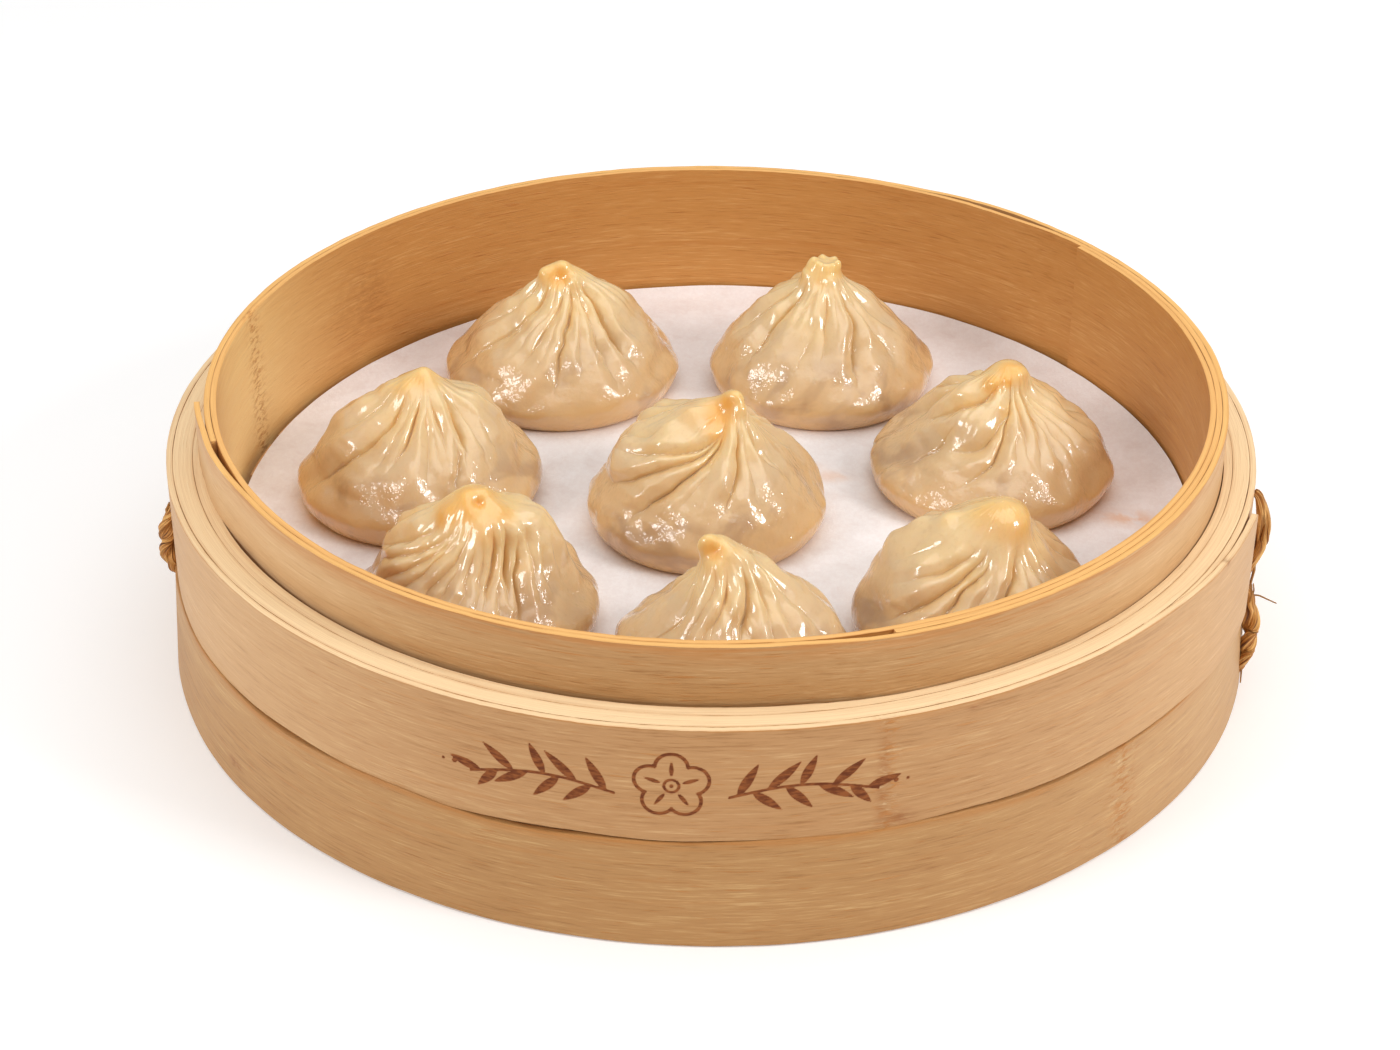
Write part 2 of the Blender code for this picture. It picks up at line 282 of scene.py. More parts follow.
def bamboo(name, dark, middle, light, skin, pith, streaks=1.0, painted_light_tones=((232, 188, 138), (250, 218, 172))):
    """Split bamboo: short fibres along the strip, pale sawn edges, knuckles, burnt marks and painted light
    on the lit sides.
    """
    s = Stuff(name)
    grain = s.attribute("grain", "Vector")
    fine = s.noise(grain, (0.17, 2.7, 2.7), roughness=0.62)
    thread = s.noise(grain, (0.05, 1.15, 1.15), roughness=0.6, shift=(7.0, 3.0, 1.0))
    broad = s.noise(grain, (0.010, 0.20, 0.3), roughness=0.5, shift=(2.0, 9.0, 4.0))
    cloud = s.noise(grain, (0.03, 0.07, 0.1), 2.0, 0.5, 0.6, (5.0, 1.0, 8.0))
    tone = fine * (0.95 * streaks) + broad * 0.36 + thread * (0.55 * streaks) + cloud * 0.30
    tone = tone - (0.75 * streaks - 0.11)
    colour = s.ramp(tone, (0.05, dark), (0.42, middle), (0.85, light))
    # Short orange-brown fibre ends.
    dash = s.between(s.noise(grain, (0.13, 2.4, 2.4), 2.0, shift=(1.0, 4.0, 6.0)), 0.61, 0.72)
    colour = s.mix(dash * 0.50, colour, skin)
    # Broad warm streaks.
    warm = s.between(s.noise(grain, (0.018, 0.55, 0.55), 2.0, 0.5, shift=(3.0, 2.0, 7.0)), 0.57, 0.74)
    colour = s.mix(warm * 0.26, colour, skin)
    # Paler tones where the pale attribute is set: painted light on the lit sides of the walls, and painted
    # sheen on the left of the inside wall.
    colour = s.mix(s.attribute("pale"), colour, s.mix(tone, *painted_light_tones))
    # Pale sawn top and bottom faces with hairlines, and their darker skin edge.
    cap = s.attribute("cap")
    hair = s.noise(grain, (0.03, 0.4, 9.0), roughness=0.6, shift=(1.0, 1.0, 3.0))
    sawn = s.mix(0.80, s.mix(s.between(hair, 0.36, 0.56), skin, pith), pith)
    colour = s.mix(s.between(cap, 0.35, 0.95), colour, sawn)
    edge = s.attribute("edge") * s.between(thread, 0.30, 0.62)
    colour = s.mix(edge * 0.70, colour, skin)
    # Knuckle of the cane: a broken column of pits and light flecks.
    knuckle = s.attribute("knuckle")
    flecks = s.noise(grain, (0.42, 1.15, 1.15), 3.0, 0.6, 0.4, (8.0, 1.0, 2.0))
    pits = s.between(flecks, 0.46, 0.62) * knuckle
    ridges = s.between(flecks, 0.40, 0.30) * knuckle
    colour = s.mix(pits * 0.72, colour, skin)
    colour = s.mix(ridges * 0.22, colour, pith)
    # Small stains.
    stain = s.attribute("stain") * s.between(flecks, 0.30, 0.62)
    colour = s.mix(stain, colour, (150, 88, 42))
    # Burnt ornament, with a scorched rim.
    burn = s.attribute("burn") + (fine - 0.5) * 0.34
    core = s.between(burn, 0.42, 0.62)
    colour = s.mix(s.between(burn, 0.12, 0.50) * 0.55, colour, (166, 98, 46))
    char = s.between(s.noise(grain, (0.5, 1.6, 1.6)), 0.35, 0.65)
    colour = s.mix(core, colour, s.mix(char, (104, 48, 14), (146, 82, 38)))
    rough = fine * 0.22 + 0.40 + cap * 0.10 + core * 0.30
    height = fine * 0.5 + thread * 0.8 - dash * 0.35 - core * 0.55 + (ridges - pits) * 0.6
    return s.finish(Base_Color=colour, Roughness=rough, Normal=s.bump(height, 0.00016, 0.8),
                    Specular_IOR_Level=0.3)


# The outer, lower and rim tones are darkened for the shaded front of the basket, a painted shade that the
# painted side light lifts again at the sides.
BAMBOO_OUTER = bamboo("bamboo_outer_looks", (160, 111, 62), (188, 140, 91), (210, 168, 118),
                      skin=(192, 126, 60), pith=(255, 226, 180))
BAMBOO_LOWER = bamboo("bamboo_lower_looks", (153, 106, 57), (181, 134, 82), (204, 163, 109),
                      skin=(184, 118, 54), pith=(250, 218, 168))
# The inside wall wood is a darker, more golden copy: painted shade and warm bounce light of the basket's
# inside.
BAMBOO_INSIDE_SHADED = bamboo("bamboo_inside_shaded_looks", (178, 116, 54), (204, 144, 78), (224, 172, 108),
                      skin=(186, 112, 42), pith=(248, 192, 118), streaks=0.9,
                      painted_light_tones=((250, 203, 132), (255, 229, 164)))
BAMBOO_RIM = bamboo("bamboo_rim_looks", (160, 113, 65), (186, 141, 91), (208, 168, 120),
                    skin=(188, 118, 50), pith=(250, 196, 120))
BAMBOO_FLOOR = bamboo("bamboo_floor_looks", (190, 138, 86), (212, 166, 116), (228, 190, 146),
                      skin=(176, 112, 56), pith=(240, 208, 160), streaks=1.2)


def cane():
    """Twisted dark cane fibre."""
    s = Stuff("cane_looks")
    grain = s.attribute("grain", "Vector")
    fibre = s.noise(grain, (0.10, 1.5, 1.0), roughness=0.6)
    blotch = s.noise(grain, (0.5, 0.6, 1.0), 2.0, shift=(4.0, 2.0, 0.0))
    colour = s.ramp(fibre, (0.34, (84, 40, 12)), (0.46, (186, 122, 54)), (0.62, (240, 188, 112)))
    colour = s.mix(s.between(blotch, 0.45, 0.7) * 0.30, colour, (146, 84, 30))
    return s.finish(Base_Color=colour, Roughness=blotch * 0.3 + 0.42, Normal=s.bump(fibre, 0.0006, 0.9),
                    Specular_IOR_Level=0.4)


def paper():
    """Greaseproof steamer paper, faintly mottled and damp-stained."""
    s = Stuff("paper_looks")
    place = s.attribute("grain", "Vector")
    mottle = s.noise(place, (0.16, 0.16, 0.16), 4.0, 0.6, 0.4)
    fibre = s.noise(place, (1.4, 0.9, 1.0), 4.0, 0.7)
    colour = s.ramp(mottle, (0.28, (242, 233, 230)), (0.52, (248, 242, 240)), (0.72, (252, 247, 246)))
    colour = s.mix(s.between(fibre, 0.60, 0.42) * 0.10, colour, (214, 190, 186))
    blot = s.attribute("stain") * s.between(mottle, 0.30, 0.58)
    colour = s.mix(blot, colour, (232, 176, 128))
    normal = s.bump(mottle + fibre * 0.45, 0.0003, 0.7)
    return s.finish(Base_Color=colour, Roughness=0.86 - blot * 0.5, Normal=normal, Specular_IOR_Level=0.25)


def dough():
    """Steamed wheat dough: amber at the tip, tan below, with painted shade and a painted amber glow in the
    creases, and a wet film.
    """
    s = Stuff("dough_looks")
    place = s.attribute("grain", "Vector")
    up = s.attribute("up")
    patch = s.noise(place, (0.085, 0.085, 0.11), 3.0, 0.5, 0.5)
    fleck = s.noise(place, (0.75, 0.75, 0.75), 4.0, 0.65, shift=(4.0, 1.0, 9.0))
    level = up + (patch - 0.5) * 0.34
    colour = s.ramp(level, (0.02, (222, 178, 118)), (0.28, (218, 180, 130)), (0.58, (225, 192, 145)),
                    (0.84, (238, 206, 152)), (0.98, (247, 205, 130)))
    # Grey-brown patches where the filling shows through.
    filling = s.between(patch, 0.49, 0.64) * s.between(up, 0.66, 0.34)
    colour = s.mix(filling * 0.58, colour, (174, 132, 94))
    colour = s.mix(s.between(fleck, 0.52, 0.70) * 0.16, colour, (196, 152, 102))
    # Painted shade in the creases, darker low down, and a painted amber glow of light through the dough
    # higher up.
    deep = s.ramp(up, (0.30, (184, 138, 84)), (0.62, (222, 176, 94)), (0.90, (244, 190, 94)))
    colour = s.mix(s.attribute("crease") * 0.52, colour, deep)
    colour = s.mix(s.attribute("amber") * 0.85, colour, (246, 180, 78))
    normal = s.bump(fleck * 0.5 + patch * 1.5, 0.00022, 0.6)
    # Wet film: broad shine above, patches of small drops below.
    film = s.between(s.noise(place, (0.20, 0.20, 0.26), 2.0, 0.5, shift=(3.0, 8.0, 5.0)), 0.38, 0.60)
    drops = s.noise(place, (1.05, 1.05, 1.05), 1.0, 0.5, shift=(1.0, 6.0, 2.0))
    ripple = s.noise(place, (0.55, 0.55, 0.55), 2.0, 0.5, shift=(6.0, 2.0, 1.0))
    low = s.between(up, 0.66, 0.40) * 0.85 + 0.15
    film_normal = s.bump((drops * 0.50 + ripple * 0.8) * low, 0.00036)
    s.shader.subsurface_method = "RANDOM_WALK"
    return s.finish(Base_Color=colour, Roughness=0.42 - film * 0.14, Normal=normal, Specular_IOR_Level=0.5,
                    Subsurface_Weight=0.40, Subsurface_Radius=(1.0, 0.76, 0.52), Subsurface_Scale=0.0028,
                    Coat_Weight=film * 0.45 + 0.55, Coat_Roughness=0.03, Coat_IOR=1.7,
                    Coat_Normal=film_normal)


CANE = cane()
PAPER = paper()
DOUGH = dough()

# ---- basket walls

RIM_TOP = 55.15
LEDGE_TOP = 43.85
WALL_FOOT = 12.5
LEDGE_FOOT = 1.0
PITCH = 1.17
INNER_RADIUS = 95.1
INNER_STRIP = 1.14
LEDGE_SPLIT = 100.5
LEDGE_OUTER = 103.67
OUTER_RADIUS = 105.0
SEAM = 21.0
BOW = 0.6
BOW_ANGLE = 188.0


def turned(angles):
    """Angles in degrees brought to -180 to 180."""
    return (np.asarray(angles, float) + 180.0) % 360.0 - 180.0


def knuckle_column(degrees, radius, width=2.4):
    """A column of knuckle marks at one angle round the basket."""
    def maker(angles, z, share):
        slant = 1.3 * waves(z, int(degrees), 17.0, 3.0)
        away = np.radians(np.abs(turned(angles - degrees))) * radius - slant
        return np.exp(-(away / width) ** 2)
    return maker


def stains(*spots):
    """Blotches at (angle, height, size across, size up, strength) on a wall of one radius."""
    def maker(angles, z, share):
        total = np.zeros_like(z)
        for degrees, height, across, tall, strength in spots:
            away = np.radians(turned(angles - degrees)) * 100.0
            total = total + strength * np.exp(-(away / across) ** 2 - ((z - height) / tall) ** 2)
        return total
    return maker


def seam_height(angles):
    """Height of the joint between the two outer bands, which wanders a little."""
    return SEAM + 0.55 * waves(np.radians(angles) * OUTER_RADIUS, 41, 130.0, 30.0)


def left_bow(angles):
    """The outer hoops stand out a little on the left: the basket isn't quite round."""
    return BOW * np.clip(np.cos(np.radians(angles - BOW_ANGLE)), 0.0, 1.0) ** 2


def painted_side_light(*places):
    """Painted side light: paler wood at each (angle, width in degrees, strength) round the basket, where
    the lamps light the walls most.
    """
    def maker(angles, z, share):
        return sum(strength * np.exp(-(turned(angles - degrees) / width) ** 2)
                   for degrees, width, strength in places)
    return maker


def make_walls():
    """The wound inner wall, the ledge and the two outer bands."""
    around = np.linspace(-72.0, 396.0, 560)
    step_in = smooth(36.0, 49.0, around)
    inner = INNER_RADIUS + PITCH * (1.0 - step_in)
    inner = inner - 0.12 * smooth(-60.0, -72.0, around)
    strip("inner_wall_first", ["inner_hoop"], around, inner, INNER_STRIP, WALL_FOOT, RIM_TOP,
          BAMBOO_INSIDE_SHADED, 3, rows=12, bevel=0.09, ragged=0.05,
          extra={"knuckle": knuckle_column(166.5, 95.0, 3.2),
                 # pale: painted sheen on the left of the inside wall
                 "pale": painted_side_light((172.0, 19.0, 0.85)),
                 "stain": stains((145.0, 36.0, 7.0, 5.0, 0.45), (140.0, 42.0, 6.0, 3.0, 0.35),
                                 (128.0, 30.0, 9.0, 3.0, 0.25), (60.0, 33.0, 8.0, 3.0, 0.25))})
    around = np.linspace(188.6, 558.0, 440)
    back = turned(around)
    doubled = smooth(-83.0, -72.0, back) * (1.0 - smooth(51.0, 63.0, back))
    middle = INNER_RADIUS + PITCH * (1.0 + doubled)
    early = around < 270.0
    middle = middle + np.where(early, PITCH * (1.0 - smooth(198.0, 212.0, around)), 0.0)
    middle = middle + np.where(early, 0.75 * (1.0 - smooth(188.3, 197.0, around)), 0.0)
    strip("inner_wall_second", ["middle_hoop"], around, middle, INNER_STRIP, WALL_FOOT, RIM_TOP,
          BAMBOO_RIM, 8, rows=12, bevel=0.09, ragged=0.05,
          # pale: painted light on the lit sides of the rim
          extra={"pale": painted_side_light((210.0, 26.0, 0.62), (330.0, 26.0, 0.48))})
    around = np.linspace(100.0, 459.9, 420)
    back = turned(around)
    reach = 98.2 + 0.6 * smooth(-84.0, -72.0, back) * (1.0 - smooth(51.0, 63.0, back))
    strip("ledge_first", ["ledge_hoop_inner"], around, reach, LEDGE_SPLIT - 0.03 - reach, LEDGE_FOOT,
          LEDGE_TOP, BAMBOO_OUTER, 13, rows=9, bevel=0.07, ragged=0.03, wobble=0.05)
    around = np.linspace(70.0, 429.9, 420)
    strip("ledge_second", ["ledge_hoop_outer"], around, LEDGE_SPLIT,
          LEDGE_OUTER - LEDGE_SPLIT + left_bow(around), LEDGE_FOOT, LEDGE_TOP,
          BAMBOO_OUTER, 17, rows=9, bevel=0.08, across=6, ragged=0.03, wobble=0.04)
    make_upper_band()
    around = np.linspace(-12.0, 347.9, 480)
    strip("lower_band_looks", ["lower_band"], around, 103.9 + left_bow(around), 1.35, 0.0,
          seam_height(around) - 0.02, BAMBOO_LOWER, 29, rows=14, bevel=0.22, across=3,
          lean=1.35, ragged=0.05, sawn=0.3,
          # pale: painted light on the lit sides of the lower band
          extra={"pale": painted_side_light((210.0, 26.0, 0.14), (330.0, 26.0, 0.25)),
                 "knuckle": knuckle_column(313.6, 106.0, 3.2),
                 "stain": stains((215.0, 5.0, 2.2, 0.9, 0.8), (222.0, 3.0, 3.0, 0.8, 0.3),
                                 (292.0, 12.0, 8.0, 0.8, 0.22), (325.0, 9.0, 5.0, 2.0, 0.2))})


# ---- burnt ornament

ORNAMENT_ANGLE = 266.3
ORNAMENT_HEIGHT = 32.6
ORNAMENT_HALF_WIDTH = 43.0
PETALS = 5
PETAL_REACH = 3.7
PETAL_RADIUS = 2.75
FAR = -9.0
# Leaves of a sprig: place along the stem, direction in degrees, length.
LEAVES = ((11.0, 62.0, 7.2), (13.5, -38.0, 6.2), (16.0, 44.0, 7.6), (19.0, -46.0, 6.6), (21.5, 66.0, 6.4),
          (24.5, -30.0, 7.0), (27.0, 40.0, 7.0), (30.0, -48.0, 5.4), (33.0, 16.0, 6.0))


def leaf(x, y, base_x, base_y, way, length, width):
    """How deep inside a pointed leaf a place is, in millimetres; below 0 outside."""
    a = radians(way)
    along = (x - base_x) * cos(a) + (y - base_y) * sin(a)
    across = (y - base_y) * cos(a) - (x - base_x) * sin(a)
    share = np.clip(along / length, 0.0, 1.0)
    half = width * np.sin(pi * share ** 0.8) ** 0.85
    past = np.maximum(0.0, np.maximum(-along, along - length))
    return half - np.abs(across) - past


def ring(x, y, radius, width):
    """How deep inside a thin ring round the middle a place is."""
    return width - np.abs(np.hypot(x, y) - radius)


def stem_height(u):
    """Height of a sprig's curved stem."""
    return 2.2 * np.sin((u - 9.0) / 25.0 * pi) - 2.4


def ornament(x, y):
    """A five-petal blossom with a sprig of bamboo leaves on each side, as depth inside the lines."""
    deep = np.full_like(x, FAR)
    ways = [90.0 + 360.0 / PETALS * i for i in range(PETALS)]
    middles = [(cos(radians(way)), sin(radians(way))) for way in ways]
    for i, (c, s) in enumerate(middles):
        outline = ring(x - PETAL_REACH * c, y - PETAL_REACH * s, PETAL_RADIUS, 0.28)
        free = np.hypot(x, y) > 1.7
        for other_c, other_s in middles[:i] + middles[i + 1:]:
            free &= np.hypot(x - PETAL_REACH * other_c, y - PETAL_REACH * other_s) > PETAL_RADIUS - 0.2
        deep = np.where(free, np.maximum(deep, outline), deep)
        deep = np.maximum(deep, leaf(x, y, 1.9 * c, 1.9 * s, ways[i], 3.1, 0.34))
    deep = np.maximum(deep, ring(x, y, 1.25, 0.22))
    deep = np.maximum(deep, 0.34 - np.hypot(x, y))
    for u in (-x, x):
        stem = np.where((u > 9.5) & (u < 35.0), 0.24 - np.abs(y - stem_height(u)), FAR)
        deep = np.maximum(deep, stem)
        for base, way, length in LEAVES:
            deep = np.maximum(deep, leaf(u, y, base, stem_height(base), way, length, 0.82))
        for place, radius in ((37.9, 0.42), (40.0, 0.28)):
            deep = np.maximum(deep, radius - np.hypot(u - place, y + 1.6))
    return deep


def burn_mark(angles, z, share):
    """The burnt ornament as a number from 0 to 1, on the outer face only."""
    x = np.radians(turned(angles - ORNAMENT_ANGLE)) * OUTER_RADIUS
    mark = smooth(-0.30, 0.26, ornament(x, z - ORNAMENT_HEIGHT))
    return np.where(share > 0.9, mark, 0.0)


TAIL_END = -404.0
FREE_END = -18.0


def make_upper_band():
    """The upper outer band: fine columns under the ornament, and a frayed free end over its own tail."""
    span = ORNAMENT_HALF_WIDTH / radians(OUTER_RADIUS)
    middle = ORNAMENT_ANGLE - 360.0
    first = np.linspace(TAIL_END, middle - span, 120)
    fine = np.linspace(middle - span, middle + span, 330)
    last = np.linspace(middle + span, FREE_END, 100)
    around = np.concatenate([first[:-1], fine, last[1:]])
    over = smooth(-44.0, -26.0, around)
    flare = smooth(-30.0, FREE_END, around)
    inner = 103.74 + 1.24 * over + 0.35 * flare + left_bow(around)
    thick = 1.2 * (0.06 + 0.94 * smooth(TAIL_END, TAIL_END + 18.0, around))
    torn = smooth(FREE_END - 3.0, FREE_END, around)
    top = LEDGE_TOP - 0.9 * torn + 0.4 * torn * waves(around, 5, 3.0, 0.7)
    strip("upper_band_looks", ["upper_band"], around, inner, thick, seam_height(around) + 0.20, top,
          BAMBOO_OUTER, 23, rows=74, bevel=0.10, ragged=0.05,
          extra={"burn": burn_mark,
                 # pale: painted light on the lit sides of the upper band
                 "pale": painted_side_light((210.0, 26.0, 0.36), (330.0, 26.0, 0.30)),
                 "knuckle": knuckle_column(286.2, 105.0, 1.7),
                 "stain": stains((212.9, 37.8, 0.9, 1.5, 0.7), (285.7, 31.0, 1.1, 9.0, 0.5),
                                 (294.5, 42.4, 1.4, 0.5, 0.55), (331.0, 43.6, 0.7, 0.4, 0.9),
                                 (287.5, 23.0, 2.2, 1.6, 0.6))})


# ---- floor and paper


def make_board(node, outline, low, high, along_x, seed):
    """A slat or batten with rounded edges, from its outline's corners, as a loft of rings."""
    outline = np.asarray(outline, float)
    middle = outline.mean(axis=0)
    rings = []
    for inset, z in ((0.55, low), (0.15, low + 0.12), (0.0, low + 0.45), (0.0, high - 0.45),
                     (0.15, high - 0.12), (0.55, high)):
        size = np.abs(outline - middle).max(axis=0)
        shrink = (size - inset) / size
        rings.append(np.column_stack([middle + (outline - middle) * shrink, np.full(len(outline), z)]))
    points = np.concatenate(rings)
    points[:, 2] += 0.06 * waves(points[:, 0 if along_x else 1], seed, 60.0, 15.0)
    grain = points if along_x else points[:, [1, 0, 2]]
    make_piece(node + "_looks", points, loft_faces(len(rings), len(outline)), BAMBOO_FLOOR,
               [node], {"grain": grain + np.array([0.0, seed * 7.0, seed * 3.0])})


def make_floor():
    """Slats cut to the round of the wall, battens and the sheet of paper."""
    for i in range(11):
        node = f"slat_{i + 1:02d}"
        low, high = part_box(node)
        middle = (low.y + high.y) / 2 / MM
        across = np.linspace(middle - 6.45, middle + 6.45, 9)
        reach = np.sqrt(94.2 ** 2 - across ** 2)
        between = np.linspace(1.0, -1.0, 25)[1:-1]
        outline = np.concatenate([np.column_stack([reach, across]),
                                  np.column_stack([between * reach[-1], np.full(23, across[-1])]),
                                  np.column_stack([-reach, across])[::-1],
                                  np.column_stack([-between * reach[0], np.full(23, across[0])])])
        make_board(node, outline, low.z / MM, high.z / MM, True, i + 2)
    for i in range(3):
        node = f"batten_{i + 1}"
        low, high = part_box(node)
        ys = np.linspace(low.y / MM, high.y / MM, 25)
        outline = np.concatenate([np.column_stack([np.full(25, high.x / MM - 0.1), ys]),
                                  np.column_stack([np.full(25, low.x / MM + 0.1), ys[::-1]])])
        make_board(node, outline, low.z / MM, high.z / MM, False, i + 31)
    make_paper()


PAPER_TOP = 25.62
PAPER_RADIUS = 94.55
PAPER_THICK = 0.28
# Damp stains of the paper: place, size across and deep, strength.
PAPER_STAINS = ((81.0, -5.5, 5.4, 2.8, 0.62), (84.8, -7.0, 3.0, 2.0, 0.4), (24.0, 10.0, 4.4, 2.4, 0.42),
                (20.0, 14.0, 3.0, 2.0, 0.25), (-20.0, -76.0, 5.0, 3.0, 0.2))


def make_paper():
    """A thin, slightly wavy sheet, turned up at the wall at the back and short of it at the left."""
    columns, rows = 240, 64
    radii = np.concatenate([[0.02], np.linspace(2.0, PAPER_RADIUS, rows - 1)])
    turn = np.linspace(0.0, TAU, columns, endpoint=False)
    r = radii[:, None] + 0.0 * turn
    short = 1.5 * np.clip(np.cos(turn - radians(168.0)), 0.0, 1.0) ** 2
    r = r - short * (radii[:, None] / PAPER_RADIUS) ** 6
    r = r * (1.0 + 0.0012 * waves(turn * 30.0 / TAU, 3, 30.0, 2.0)[None, :] * (radii / 95.0)[:, None])
    x, y = r * np.cos(turn), r * np.sin(turn)
    flat = np.stack([x, y, 0.0 * x], -1)
    wave = 0.05 * lumps(flat, 12, 34.0) + 0.03 * lumps(flat, 13, 11.0)
    lift = 0.25 + 1.35 * np.clip(np.cos(turn - radians(58.0)), 0.0, 1.0)
    wave += lift * smooth(89.0, 95.4, r) ** 1.5
    top = np.stack([x, y, PAPER_TOP - 0.05 + wave], -1).reshape(-1, 3)
    under = top - np.array([0.0, 0.0, PAPER_THICK])
    count = rows * columns
    faces = [grid_faces(rows, columns, True), grid_faces(rows, columns, True, count)[:, ::-1]]
    rim = np.arange(columns) + (rows - 1) * columns
    faces.append(np.stack([np.roll(rim, -1), rim, rim + count, np.roll(rim, -1) + count], -1)[:, ::-1])
    faces.append(np.arange(columns)[::-1][None, :])
    faces.append((np.arange(columns) + count)[None, :])
    points = np.concatenate([top, under])
    stain = np.zeros(len(points))
    for x, y, wide, deep, strength in PAPER_STAINS:
        away = ((points[:, 0] - x) / wide) ** 2 + ((points[:, 1] - y) / deep) ** 2
        stain += strength * np.exp(-away ** 1.5)
    # A damp ring round each dumpling's foot.
    for spec in DUMPLINGS.values():
        away = np.hypot(points[:, 0] - spec["x"], points[:, 1] - spec["y"]) / spec["radius"]
        stain += 0.30 * np.exp(-((away - 0.86) / 0.09) ** 2)
    make_piece("paper_sheet", points, faces, PAPER, ["paper_liner"],
               {"grain": points, "stain": stain})


# ---- dumplings

# Shares of a dumpling's height where it is widest and where its outline is given; FOOT is the share of its
# radius at the paper.
FOOT = 0.90
WIDEST = 0.16
LEVELS = (0.34, 0.48, 0.62, 0.75, 0.86)

